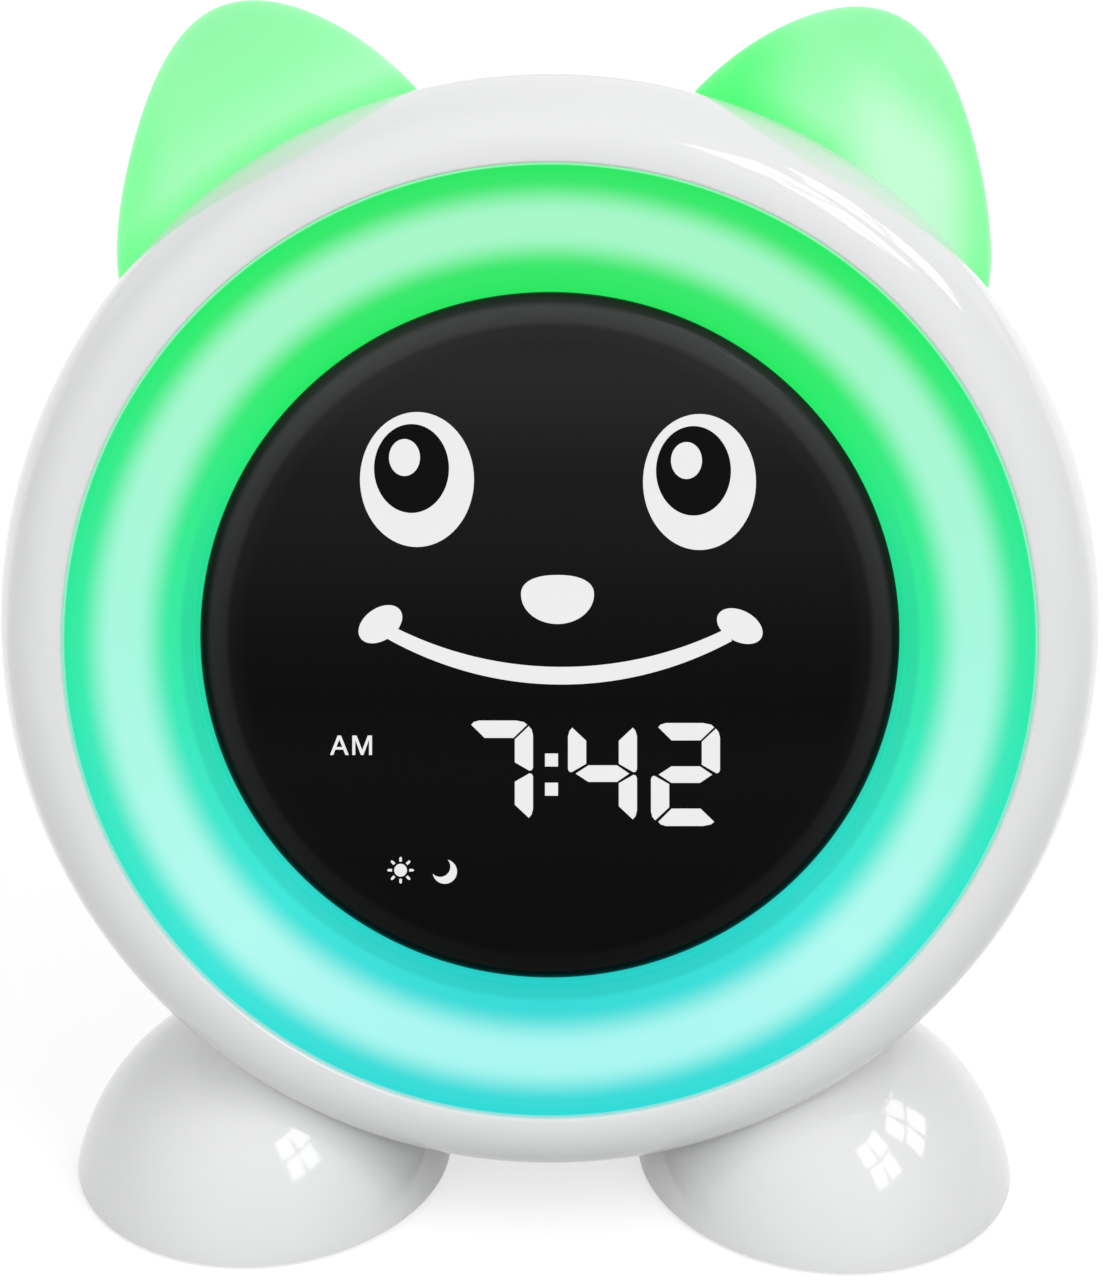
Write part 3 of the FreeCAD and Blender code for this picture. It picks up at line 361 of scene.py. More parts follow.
@once
def ring_glow():
    # The ring's glow is painted with emission ramps, not cast by the LEDs.
    shade = Shade("ring_glow", Roughness=0.42, IOR=1.45, Specular_IOR_Level=0.08)
    shade.surface.inputs["Base Color"].default_value = (0.004, 0.02, 0.015, 1)
    radius, rise = shade.polar()
    height = shade.maths("MULTIPLY_ADD", shade.maths("DIVIDE", rise, radius), 0.5, 0.5)
    edge = shade.ramp(height, [
        (0.0, srgb(44, 218, 216)), (0.15, srgb(52, 231, 219)), (0.5, srgb(42, 236, 163)),
        (0.85, srgb(38, 238, 102)), (1.0, srgb(43, 233, 96))], "LINEAR")
    core = shade.ramp(height, [
        (0.0, srgb(172, 248, 244)), (0.15, srgb(181, 252, 243)), (0.5, srgb(170, 250, 225)),
        (0.85, srgb(169, 249, 206)), (1.0, srgb(169, 249, 202))], "LINEAR")
    inner, outer = shape().ring_inner_radius, shape().lip_radius
    share = shade.maths("DIVIDE", shade.maths("SUBTRACT", radius, inner), outer - inner)
    # Painted glow across the ring: paler in its middle and saturated at its edges, with a thin painted
    # highlight at the outer edge by the bezel's lip.
    lit = shade.ramp(share, [
        (0.0, BLACK), (0.16, grey(0.03)), (0.45, WHITE), (0.60, WHITE), (0.88, grey(0.03)),
        (0.975, BLACK), (0.99, grey(0.8))])
    colour = shade.blend(lit, edge, core)
    # Painted shade: the ring is darker beside the lens on its lower side.
    beside = shade.ramp(share, [(0.0, WHITE), (0.07, WHITE), (0.11, BLACK)])
    around = shade.ramp(shade.maths("SUBTRACT", 1.0, height), [(0.2, BLACK), (0.5, WHITE)])
    painted_lens_shade = shade.maths("MULTIPLY", shade.maths("MULTIPLY", beside, around), 0.28)
    colour = shade.blend(painted_lens_shade, colour, srgb(30, 170, 150))
    shade.link(colour, shade.surface.inputs["Emission Color"])
    shade.surface.inputs["Emission Strength"].default_value = GLOW_POWER
    shade.bump(shade.noise(DIFFUSER_GRAIN, 2), 0.04)
    return shade.material


# Millimetres over which the ear's painted glow changes colour: from the axis, from the middle, at its rim.
EAR_GLOW_START, EAR_GLOW_REACH = 60.0, 22.0
EAR_NEAR, EAR_WIDE = 8.0, 46.0
EAR_RIM, EAR_RIM_WIDE = 44.0, 8.0


@once
def ear_glow():
    # The ear's glow is painted with emission ramps, not cast by the LEDs.
    shade = Shade("ear_glow", Roughness=0.35, IOR=1.45, Specular_IOR_Level=0.15)
    shade.surface.inputs["Base Color"].default_value = (0.01, 0.04, 0.02, 1)
    radius = shade.polar()[0]
    across = shade.along((1, 0, 0), axes()[0])
    side = shade.maths("ABSOLUTE", across)
    share = shade.maths("DIVIDE", shade.maths("SUBTRACT", radius, EAR_GLOW_START), EAR_GLOW_REACH)
    colour = shade.ramp(share, [
        (0.0, srgb(40, 244, 92)), (0.10, srgb(56, 250, 104)), (0.22, srgb(126, 254, 152)),
        (0.36, srgb(164, 252, 184)), (0.58, srgb(150, 252, 172)), (1.0, srgb(146, 246, 168))], "LINEAR")
    # Painted glow: saturated on the inner side, a pale patch on the outer side near the body, and deeper
    # colour at the outer rim.
    spread = shade.maths("DIVIDE", shade.maths("SUBTRACT", across, EAR_NEAR), EAR_WIDE)
    near_middle = shade.ramp(spread, [(0.0, BLACK), (0.1, WHITE), (0.28, WHITE), (0.52, BLACK)])
    colour = shade.blend(shade.maths("MULTIPLY", near_middle, 0.85), colour, srgb(66, 252, 112))
    low = shade.ramp(share, [(0.0, WHITE), (0.45, WHITE), (0.8, BLACK)])
    pale = shade.ramp(spread, [(0.5, BLACK), (0.68, WHITE), (0.84, WHITE), (0.95, grey(0.3))])
    colour = shade.blend(shade.maths("MULTIPLY", low, pale), colour, srgb(196, 253, 212))
    rim = shade.maths("DIVIDE", shade.maths("SUBTRACT", side, EAR_RIM), EAR_RIM_WIDE)
    outside = shade.ramp(rim, [(0.0, BLACK), (1.0, WHITE)])
    deeper = shade.blend(shade.maths("MULTIPLY", outside, 0.6), colour, srgb(84, 253, 122))
    shade.link(deeper, shade.surface.inputs["Emission Color"])
    shade.surface.inputs["Emission Strength"].default_value = GLOW_POWER
    shade.bump(shade.noise(DIFFUSER_GRAIN, 2), 0.04)
    return shade.material


LENS_REFLECTION_START, LENS_REFLECTION_WIDE = 35.0, 6.0     # where the painted grey reflection on the lens's rolled rim starts, and its width


@once
def smoked_lens():
    shade = Shade("smoked_lens", Roughness=0.04, IOR=1.5, Specular_IOR_Level=0.05)
    radius, rise = shade.polar()
    height = shade.maths("MULTIPLY_ADD", rise, 0.5 / shape().lens_radius, 0.5)
    # The lens itself is black; the grey in its colour is painted light. A painted sheen grows lighter towards
    # the top.
    painted_top_sheen = shade.ramp(height, [(0.0, BLACK), (0.45, srgb(6, 6, 6)), (0.72, srgb(22, 22, 23)),
                               (0.9, srgb(36, 36, 37)), (1.0, srgb(32, 32, 33))])
    # A painted reflection lies on the rolled rim and grows brighter towards the top.
    share = shade.maths("DIVIDE", shade.maths("SUBTRACT", radius, LENS_REFLECTION_START), LENS_REFLECTION_WIDE)
    painted_rim_reflection = shade.ramp(share, [
        (0.0, BLACK), (0.34, srgb(16, 16, 17)), (0.5, srgb(48, 48, 49)), (0.72, srgb(54, 54, 55)),
        (0.86, srgb(20, 20, 20)), (1.0, BLACK)])
    lit = shade.maths("MULTIPLY_ADD", height, 0.9, 0.06)
    rim = shade.blend(lit, BLACK, painted_rim_reflection)
    painted_sheen_and_reflection = shade.node("Mix", data_type="RGBA", blend_type="ADD")
    painted_sheen_and_reflection.inputs["Factor"].default_value = 1.0
    shade.link(painted_top_sheen, painted_sheen_and_reflection.inputs[6])
    shade.link(rim, painted_sheen_and_reflection.inputs[7])
    shade.link(painted_sheen_and_reflection.outputs[2], shade.surface.inputs["Base Color"])
    shade.bump(shade.noise(120, 1), 0.01)
    return shade.material


@once
def lit_sign():
    shade = Shade("lit_sign", Roughness=0.3, Specular_IOR_Level=0.1)
    shade.surface.inputs["Base Color"].default_value = (0.02, 0.02, 0.02, 1)
    glow = tuple(finish().sign) + (1,)
    soft = tuple(level * 0.97 for level in finish().sign) + (1,)
    shade.link(shade.blend(shade.noise(900), soft, glow), shade.surface.inputs["Emission Color"])
    shade.surface.inputs["Emission Strength"].default_value = 1.0
    return shade.material


@once
def mask_black():
    shade = Shade("mask_black", Roughness=0.45, Specular_IOR_Level=0.04)
    shade.tint((0.003, 0.003, 0.0032), 0.15, 300)
    return shade.material


def moulded(name, colour, low=0.38, high=0.5, grain=0.08):
    """A plain moulding: colour, lowest and highest roughness, strength of its fine grain."""
    shade = Shade(name, IOR=1.46)
    shade.tint(colour, 0.03, 120)
    shade.vary("Roughness", low, high, 200)
    shade.bump(shade.noise(2500, 2), grain)
    return shade.material


@once
def satin_white():
    return moulded("satin_white", (0.66, 0.66, 0.66), 0.3, 0.4)


@once
def bare_plastic():
    return moulded("bare_plastic", (0.56, 0.56, 0.55))


@once
def white_trough():
    return moulded("white_trough", (0.8, 0.8, 0.79), 0.2, 0.3)


@once
def pad_rubber():
    return moulded("pad_rubber", finish().rubber, 0.7, 0.85, 0.25)


@once
def black_foam():
    return moulded("black_foam", (0.01, 0.01, 0.01), 0.85, 0.95, 0.4)


@once
def chip_black():
    return moulded("chip_black", (0.012, 0.012, 0.013), 0.5, 0.6, 0.15)


@once
def solder_mask():
    return moulded("solder_mask", finish().board, 0.25, 0.35, 0.05)


@once
def lamp_resin():
    return moulded("lamp_resin", (0.8, 0.78, 0.6), 0.2, 0.3, 0.03)


@once
def cell_sleeve():
    return moulded("cell_sleeve", (0.02, 0.06, 0.3), 0.25, 0.35, 0.05)


@once
def pressed_paper():
    return moulded("pressed_paper", (0.015, 0.015, 0.016), 0.7, 0.85, 0.5)


def plated(name, colour, rough):
    """A plated metal of a colour and a roughness."""
    shade = Shade(name, Metallic=1.0)
    shade.tint(colour, 0.05, 200)
    shade.vary("Roughness", rough, rough + 0.12, 400)
    shade.bump(shade.noise(1800, 2), 0.05)
    return shade.material


@once
def zinc_plate():
    return plated("zinc_plate", (0.55, 0.55, 0.56), 0.3)


@once
def nickel_plate():
    return plated("nickel_plate", (0.68, 0.67, 0.65), 0.2)


# The finish that each slot of the record wears.
FINISHES = {
    "white_shell": polished_white, "ring_diffuser": ring_glow, "ear_diffuser": ear_glow,
    "black_lens": smoked_lens, "mask": mask_black, "circuit_board": solder_mask, "led": lamp_resin,
    "chip": chip_black, "frame_plastic": bare_plastic, "reflector": white_trough,
    "button_plastic": satin_white, "sole_plastic": satin_white, "pad_rubber": pad_rubber,
    "foam": black_foam, "screw_steel": zinc_plate, "socket_steel": nickel_plate,
    "cell_steel": nickel_plate, "magnet": zinc_plate, "cone_paper": pressed_paper,
    "battery_wrap": cell_sleeve,
}


class CLOCK_OT_carried_parts(bpy.types.Operator):
    """Gives every part that is carried over its own finish"""
    bl_idname = "clock.carried_parts"
    bl_label = "Finish carried parts"

    def execute(self, context):
        slots = {row["node"]: row["material_slot"] for row in frame["record"]["subparts"]}
        for name, part in frame["nodes"].items():
            material = FINISHES[slots[name]]()
            part.data.materials.clear()
            part.data.materials.append(material)
        return {"FINISHED"}


def flank_centre():
    """Radius at which the centre of the casing's side curve lies."""
    return shape().body_radius - shape().flank_radius


def nose():
    """Centre and radius of the small arc that rolls into the front lip."""
    size, turn = shape(), math.radians(shape().nose_angle)
    radius = (size.bezel_height - size.flank_radius * math.sin(turn)) / (1 - math.sin(turn))
    reach = size.flank_radius - radius
    return (flank_centre() + reach * math.cos(turn), reach * math.sin(turn)), radius


OUTER_STEPS, LIP_STEPS, INNER_STEPS = 18, 5, 8
LIP_ROUND = 0.4
SEAM_EDGE = [(0.35, 0), (0.1, 0.02), (0.01, 0.12)]      # inward and forward of the seam's corner


class CLOCK_OT_bezel(bpy.types.Operator):
    """Turns the white front shell with its rolled lip"""
    bl_idname = "clock.bezel"
    bl_label = "Bezel"

    def execute(self, context):
        size = shape()
        centre, radius = nose()
        half = size.seam_gap / 2
        start = math.degrees(math.asin(half / size.flank_radius))
        outer = arc((flank_centre(), 0), size.flank_radius, start, size.nose_angle, OUTER_STEPS)
        outer += arc(centre, radius, size.nose_angle, 90, OUTER_STEPS)[1:]
        lip = size.lip_radius
        outer += arc((lip + LIP_ROUND, size.bezel_height - LIP_ROUND), LIP_ROUND, 90, 180, LIP_STEPS)
        inner = [(lip, size.bezel_height - size.wall), (centre[0], size.bezel_height - size.wall)]
        inner += arc(centre, radius - size.wall, 90, size.nose_angle, INNER_STEPS)[1:]
        hollow = size.flank_radius - size.wall
        inner += arc((flank_centre(), 0), hollow, size.nose_angle, start, INNER_STEPS)[1:]
        soft_edge = [(outer[0][0] - inward, half + ahead) for inward, ahead in SEAM_EDGE]
        mesh = lathe("bezel_shell", soft_edge + outer[1:] + inner)
        piece = add_piece("bezel_shell", mesh, polished_white())
        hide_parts("front_shell")
        return {"FINISHED"}


# The ring's hidden back, as (radius, depth): the ledge for the lens, the trough and the flange.
RING_BACK = [(38.7, 8.6), (38.7, 7.2), (42.8, 7.2), (43.4, 9.8), (48.9, 12.4), (54.4, 12.9),
             (54.4, 12.0), (58.6, 12.0), (58.6, 12.9), (57.27, 13.8)]
RING_CLEARANCE = 0.2               # between the ring and the bezel's lip
RING_EDGE_START = 0.25             # outside the inner edge, where its rounding begins
RING_EDGE = [(0.07, 0.07), (0, 0.3)]      # outside the inner edge, and behind its front
RING_STEPS = 40


class CLOCK_OT_ring(bpy.types.Operator):
    """Turns the milky light ring between the bezel and the lens"""
    bl_idname = "clock.ring"
    bl_label = "Light ring"

    def execute(self, context):
        size = shape()
        outer, inner = size.lip_radius - RING_CLEARANCE, size.ring_inner_radius
        middle = ((outer + inner) / 2, (size.ring_front + size.ring_inner_front) / 2 + size.ring_crown)
        last = (inner + RING_EDGE_START, size.ring_inner_front)
        front = arc_through((outer, size.ring_front), middle, last, RING_STEPS)
        edge = [(inner + apart, size.ring_inner_front - behind) for apart, behind in RING_EDGE]
        back = [(inner, RING_BACK[0][1])] + RING_BACK + [(outer, RING_BACK[-1][1])]
        mesh = lathe("glow_ring", front + edge + back)
        piece = add_piece("glow_ring", mesh, ring_glow(), sharp=40)
        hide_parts("light_ring")
        return {"FINISHED"}


def lens_height(radius):
    """Depth of the lens's domed face at a distance from its middle."""
    size = shape()
    flat = size.lens_radius - size.lens_round
    rise = size.lens_crown - size.lens_shoulder
    ball = (flat ** 2 + rise ** 2) / (2 * rise)
    return size.lens_crown - ball + math.sqrt(ball ** 2 - min(radius, flat) ** 2)


DOME_STEPS, ROLL_STEPS = 24, 14
LENS_EDGE = 1                      # height of the straight edge behind the roll
ROLL_INWARD, ROLL_DOWN = 0.25, 0.3        # where the roll's middle lies, as shares of its size


class CLOCK_OT_lens(bpy.types.Operator):
    """Turns the smoked lens with its rolled edge"""
    bl_idname = "clock.lens"
    bl_label = "Lens"

    def execute(self, context):
        size = shape()
        flat = size.lens_radius - size.lens_round
        low = size.lens_back + LENS_EDGE
        middle = (size.lens_radius - size.lens_round * ROLL_INWARD,
                  size.lens_shoulder - (size.lens_shoulder - low) * ROLL_DOWN)
        reaches = [flat * index / DOME_STEPS for index in range(DOME_STEPS + 1)]
        dome = [(reach, lens_height(reach)) for reach in reaches]
        roll = arc_through((flat, size.lens_shoulder), middle, (size.lens_radius, low), ROLL_STEPS)[1:]
        mesh = lathe("face_lens", dome + roll + [(size.lens_radius, size.lens_back), (0, size.lens_back)])
        piece = add_piece("face_lens", mesh, smoked_lens(), sharp=40)
        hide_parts("display_lens")
        return {"FINISHED"}


def viewpoint():
    """The photograph's camera: its place in metres and its right, up and backward directions."""
    pitch, roll = math.radians(CAMERA_PITCH), math.radians(CAMERA_ROLL)
    back = Vector((0, -math.cos(pitch), math.sin(pitch)))
    right = Vector((1, 0, 0))
    up = right.cross(-back)
    side = right * math.cos(roll) + up * math.sin(roll)
    top = up * math.cos(roll) - right * math.sin(roll)
    aim = Vector((CAMERA_AIM[0], shape().centre_back, CAMERA_AIM[1]))
    return (aim + back * CAMERA_REACH) * MM, side, top, back


AIM_ROUNDS = 6                     # enough for the ray's meeting point to settle on the dome


def on_lens(column, line, lift):
    """The place on the lens that the photograph shows at a pixel, raised by a lift."""
    place, side, top, back = viewpoint()
    heading = side * (column - PHOTO_MIDDLE[0]) - top * (line - PHOTO_MIDDLE[1]) - back * CAMERA_PIXELS
    centre, along = axes()
    outward = leaned(0, 0, 1) - centre
    outward.normalize()
    depth = shape().lens_crown
    for attempt in range(AIM_ROUNDS):
        level = centre + outward * depth * MM
        spot = place + heading * ((level - place).dot(outward) / heading.dot(outward)) - centre
        across, rise = spot.x / MM, spot.dot(Vector(along)) / MM
        depth = lens_height(math.hypot(across, rise)) + lift
    return leaned(across, rise, depth)


def plate(name, outlines, low, high, material, slot):
    """Thin flat figures on the lens, each from one outline in photograph pixels."""
    points, faces = [], []
    for outline in outlines:
        start, count = len(points), len(outline)
        points += [on_lens(*spot, high) for spot in outline] + [on_lens(*spot, low) for spot in outline]
        faces.append([start + index for index in range(count)])
        faces.append([start + count + index for index in reversed(range(count))])
        for index in range(count):
            after = (index + 1) % count
            faces.append([start + index, start + after, start + count + after, start + count + index])
    return add_piece(name, mesh_from(name, points, faces), material)


FIGURE_LIFTS = (0.02, 0.06)        # under and upper side of a figure over the lens, millimetres
PUPIL_LIFTS, SPARK_LIFTS, ENDS_LIFTS = (0.05, 0.09), (0.08, 0.12), (0.03, 0.07)
OVAL_POINTS = 72
BOW_STEPS = 48


def lit_plate(name, outlines, lifts=FIGURE_LIFTS):
    return plate(name, outlines, *lifts, lit_sign(), "led")


def oval(column, line, half_wide, half_tall, turn=0.0, count=OVAL_POINTS):
    """An ellipse in photograph pixels, turned by an angle in degrees."""
    lean = math.radians(turn)
    spots = []
    for index in range(count):
        angle = 2 * math.pi * index / count
        x, y = half_wide * math.cos(angle), half_tall * math.sin(angle)
        spots.append((column + x * math.cos(lean) - y * math.sin(lean),
                      line + x * math.sin(lean) + y * math.cos(lean)))
    return spots


# The face in photograph pixels: ovals are (column, line, half width, half height, turn).
EYES = [((417, 479.5, 57, 67.5), (411.5, 468.5, 37.5, 44.5), (404.5, 457.5, 15.5, 18.5)),
        ((699.5, 482, 56.5, 68), (693.5, 470.8, 37.5, 44.8), (686.5, 460.5, 15.5, 18.5))]
NOSE = (557.5, 594.5, 36.5, 19.5, 29.5)      # middle, half width, reach above and below
NOSE_TOP_POWER = 0.86              # under 1 makes the upper half fuller than an ellipse
SMILE = ((390, 632.5), (563, 675.7), (729, 634.8))
SMILE_HALF_WIDTH = (6.8, 8.8)
SMILE_ENDS = ((380.4, 624.2, 24.2, 16.0, -35), (739.8, 626.1, 24.5, 15.5, 28))


class CLOCK_OT_face(bpy.types.Operator):
    """Lays the lit eyes, nose and smile on the lens"""
    bl_idname = "clock.face"
    bl_label = "Face"

    def execute(self, context):
        for side, (white, pupil, spark) in zip(("left", "right"), EYES):
            lit_plate("eye_white_" + side, [oval(*white)])
            plate("eye_pupil_" + side, [oval(*pupil)], *PUPIL_LIFTS, mask_black(), "mask")
            lit_plate("eye_spark_" + side, [oval(*spark)], SPARK_LIFTS)
        column, line, wide, above, below = NOSE
        nose_line = []
        for index in range(OVAL_POINTS):
            angle = 2 * math.pi * index / OVAL_POINTS
            x, y = math.cos(angle), math.sin(angle)
            power = NOSE_TOP_POWER if y < 0 else 1.0
            nose_line.append((column + wide * math.copysign(abs(x) ** power, x),
                              line + (above if y < 0 else below) * math.copysign(abs(y) ** power, y)))
        lit_plate("nose", [nose_line])
        bow = arc_through(*SMILE, BOW_STEPS)
        thin, thick = SMILE_HALF_WIDTH
        top, bottom = [], []
        for index, spot in enumerate(bow):
            share = 1 - abs(index / BOW_STEPS * 2 - 1)
            half = thin + (thick - thin) * math.sin(share * math.pi / 2)
            ahead, behind = bow[min(index + 1, BOW_STEPS)], bow[max(index - 1, 0)]
            run, rise = ahead[0] - behind[0], ahead[1] - behind[1]
            length = math.hypot(run, rise)
            top.append((spot[0] + rise / length * half, spot[1] - run / length * half))
            bottom.append((spot[0] - rise / length * half, spot[1] + run / length * half))
        ribbon("smile", top, bottom, *FIGURE_LIFTS)
        lit_plate("smile_ends", [oval(*end) for end in SMILE_ENDS], ENDS_LIFTS)
        return {"FINISHED"}


def ribbon(name, top, bottom, low, high):
    """A thin band between two edges, closed all round."""
    count = len(top)
    points = [on_lens(*spot, lift) for lift in (high, low) for edge in (top, bottom) for spot in edge]
    faces = []
    for index in range(count - 1):
        a, b, c, d = index, index + count, index + 2 * count, index + 3 * count
        faces += [[a, a + 1, b + 1, b], [c, d, d + 1, c + 1], [a, c, c + 1, a + 1], [b, b + 1, d + 1, d]]
    for index in (0, count - 1):
        faces.append([index, index + count, index + 3 * count, index + 2 * count])
    return add_piece(name, mesh_from(name, points, faces), lit_sign())


# One bar of each kind of a seven-bar digit, in pixels from the digit's upper left corner. The
# other bars are these three turned over.
DIGIT_WIDE, DIGIT_TALL = 69.0, 103.0
TOP_BAR = [(7.3, 4.3), (9.6, 1.6), (15, 0), (52, 0), (60, 1.6), (63.2, 4.2), (49.5, 17.4), (20.6, 17.4)]
SIDE_BAR = [(64.8, 5.6), (67.6, 9), (69, 14.5), (69, 47), (67.8, 49.6), (65.4, 50.2),
            (50.8, 41.8), (50.8, 18.8)]
MIDDLE_BAR = [(7.6, 51.6), (20.4, 43.3), (49, 43.3), (61.2, 51.6), (49, 59.9), (20.4, 59.9)]


def flipped(bar, sideways, upside):
    return [(DIGIT_WIDE - x if sideways else x, DIGIT_TALL - y if upside else y) for x, y in bar]


BARS = {"a": TOP_BAR, "b": SIDE_BAR, "c": flipped(SIDE_BAR, False, True), "d": flipped(TOP_BAR, False, True),
        "e": flipped(SIDE_BAR, True, True), "f": flipped(SIDE_BAR, True, False), "g": MIDDLE_BAR}
TIME = [(464, 720.5, "abc"), (568, 722, "fgbc"), (651, 723, "abged")]
COLON = [(551.5, 760), (551.5, 789.2)]
COLON_HALF = 6.5


def box_at(column, line, half):
    """A square about a pixel."""
    return [(column - half, line - half), (column + half, line - half),
            (column + half, line + half), (column - half, line + half)]


def spoke(column, line, turn, start, stop, half):
    """A ray of the sun, pointed at its outer end."""
    run, rise = math.cos(turn), math.sin(turn)
    corners = [(start, -half), (stop - half, -half), (stop, 0), (stop - half, half), (start, half)]
    return [(column + u * run - v * rise, line + u * rise + v * run) for u, v in corners]


MOON_STEPS, BITE_STEPS = 32, 24


def crescent(column, line, outer, inner, shift):
    """A moon whose dark bite is shifted up and to the left."""
    points = []
    apart = math.hypot(*shift)
    spread = math.acos((outer ** 2 + apart ** 2 - inner ** 2) / (2 * outer * apart))
    toward = math.atan2(shift[1], shift[0])
    for index in range(MOON_STEPS + 1):
        angle = toward + spread + (2 * math.pi - 2 * spread) * index / MOON_STEPS
        points.append((column + outer * math.cos(angle), line + outer * math.sin(angle)))
    start = math.atan2(points[-1][1] - line - shift[1], points[-1][0] - column - shift[0])
    stop = math.atan2(points[0][1] - line - shift[1], points[0][0] - column - shift[0])
    while start < stop:
        start += 2 * math.pi
    for index in range(1, BITE_STEPS):
        angle = start + (stop - start) * index / BITE_STEPS
        points.append((column + shift[0] + inner * math.cos(angle),
                       line + shift[1] + inner * math.sin(angle)))
    return points


LETTER_A = [[(330, 755), (337.6, 735.5), (341, 735.5), (333.2, 755)],
            [(341, 735.5), (348.8, 755), (345.4, 755), (337.9, 736)],
            [(335.4, 749.6), (343.3, 749.6), (342.4, 747), (336.4, 747)]]
LETTER_M = [[(352.3, 755), (352.3, 735.5), (356.6, 735.5), (362.2, 750), (367.8, 735.5),
             (372, 735.5), (372, 755), (369, 755), (369, 740), (363.4, 755), (360.9, 755),
             (355.3, 740), (355.3, 755)]]
SUN, SUN_DISC, SUN_DISC_POINTS = (400.6, 870.2), 6.4, 32
SUN_RAYS, RAY_START, RAY_STOP, RAY_HALF = 8, 8.6, 13.6, 1.3
MOON = (444.8, 871.6, 12.2, 10.2, (-4.6, -4.9))      # middle, its radius, the bite's, its shift


class CLOCK_OT_readout(bpy.types.Operator):
    """Lays the lit time, the half-day letters, the sun and the moon on the lens"""
    bl_idname = "clock.readout"
    bl_label = "Readout"

    def execute(self, context):
        bars = []
        for column, line, lit in TIME:
            bars += [[(column + x, line + y) for x, y in BARS[name]] for name in lit]
        lit_plate("time_digits", bars)
        lit_plate("time_colon", [box_at(*spot, COLON_HALF) for spot in COLON])
        lit_plate("half_day_letters", LETTER_A + LETTER_M)
        sun = [oval(*SUN, SUN_DISC, SUN_DISC, 0, SUN_DISC_POINTS)]
        for index in range(SUN_RAYS):
            turn = math.radians(360 / SUN_RAYS * index)
            sun.append(spoke(*SUN, turn, RAY_START, RAY_STOP, RAY_HALF))
        lit_plate("sun_sign", sun)
        lit_plate("moon_sign", [crescent(*MOON)])
        return {"FINISHED"}


EAR_FOOT = -64                     # degrees at which each ear ends, out of sight in the shell
EAR_ROWS, EAR_COLUMNS = 64, 72
FOOT_ROWS, FOOT_COLUMNS = 40, 120
FOOT_RIM = [(0.90, 0), (0.988, 0), (0.997, 0.05)]       # shares of the rim's reach, and lifts


class CLOCK_OT_ears(bpy.types.Operator):
    """Forms the two glowing ears behind the seam"""
    bl_idname = "clock.ears"
    bl_label = "Ears"

    def execute(self, context):
        size = shape()
        lean = math.radians(size.ear_lean)
        rows, columns = EAR_ROWS, EAR_COLUMNS
        for side, word in ((-1, "left"), (1, "right")):
            points, faces = [], []
            for row in range(rows + 1):
                share = math.sin(math.radians(EAR_FOOT + (90 - EAR_FOOT) * row / rows))
                reach = math.sqrt(max(0, 1 - share ** 2))
                rise, bow = share * size.ear_half_height, -size.ear_bow * share ** 2
                middle = Vector((size.ear_across - rise * math.sin(lean) - bow * math.cos(lean),
                                 size.ear_up + rise * math.cos(lean) - bow * math.sin(lean)))
                for column in range(columns):
                    turn = 2 * math.pi * column / columns
                    wide = size.ear_half_width * reach * math.cos(turn)
                    deep = size.ear_half_depth * reach * math.sin(turn)
                    across = middle.x - wide * math.cos(lean)
                    up = middle.y - wide * math.sin(lean)
                    points.append(leaned(side * across, up, deep - size.ear_back))
            for row in range(rows):
                for column in range(columns):
                    after = (column + 1) % columns
                    here, there = row * columns, (row + 1) * columns
                    faces.append([here + column, here + after, there + after, there + column])
            faces.append(list(range(columns)))
            name = "ear_cap_" + word
            piece = add_piece(name, mesh_from(name, points, faces), ear_glow())
            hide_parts("ear_" + word)
        return {"FINISHED"}


class CLOCK_OT_feet(bpy.types.Operator):
    """Forms the two domed feet, cut flat at the table"""
    bl_idname = "clock.feet"
    bl_label = "Feet"

    def execute(self, context):
        size = shape()
        rows, columns = FOOT_ROWS, FOOT_COLUMNS
        low = math.asin((size.foot_sunk + size.foot_lift) / size.foot_half_height)
        for side, word in ((-1, "left"), (1, "right")):
            turn = math.radians(side * size.toe_out)
            middle = Vector((side * size.foot_across, size.centre_back - size.foot_forward, -size.foot_sunk))
            points, faces = [], []
            levels = [low + (math.pi / 2 - low) * row / rows for row in range(rows)]
            rings = [(math.cos(level), math.sin(level) * size.foot_half_height) for level in levels]
            rim = rings[0]
            rings = [(rim[0] * share, rim[1] + lift) for share, lift in FOOT_RIM] + rings[1:]
            for reach, height in rings:
                for column in range(columns):
                    angle = 2 * math.pi * column / columns
                    x = size.foot_half_width * reach * math.cos(angle)
                    y = size.foot_half_length * reach * math.sin(angle)
                    spot = Vector((x * math.cos(turn) - y * math.sin(turn),
                                   x * math.sin(turn) + y * math.cos(turn), height))
                    points.append((middle + spot) * MM)
            for row in range(len(rings) - 1):
                for column in range(columns):
                    after = (column + 1) % columns
                    here, there = row * columns, (row + 1) * columns
                    faces.append([here + column, here + after, there + after, there + column])
            last = (len(rings) - 1) * columns
            faces.append([last + column for column in range(columns)])
            faces.append(list(reversed(range(columns))))
            name = "foot_dome_" + word
            piece = add_piece(name, mesh_from(name, points, faces), polished_white())
            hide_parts("foot_" + word)
        return {"FINISHED"}


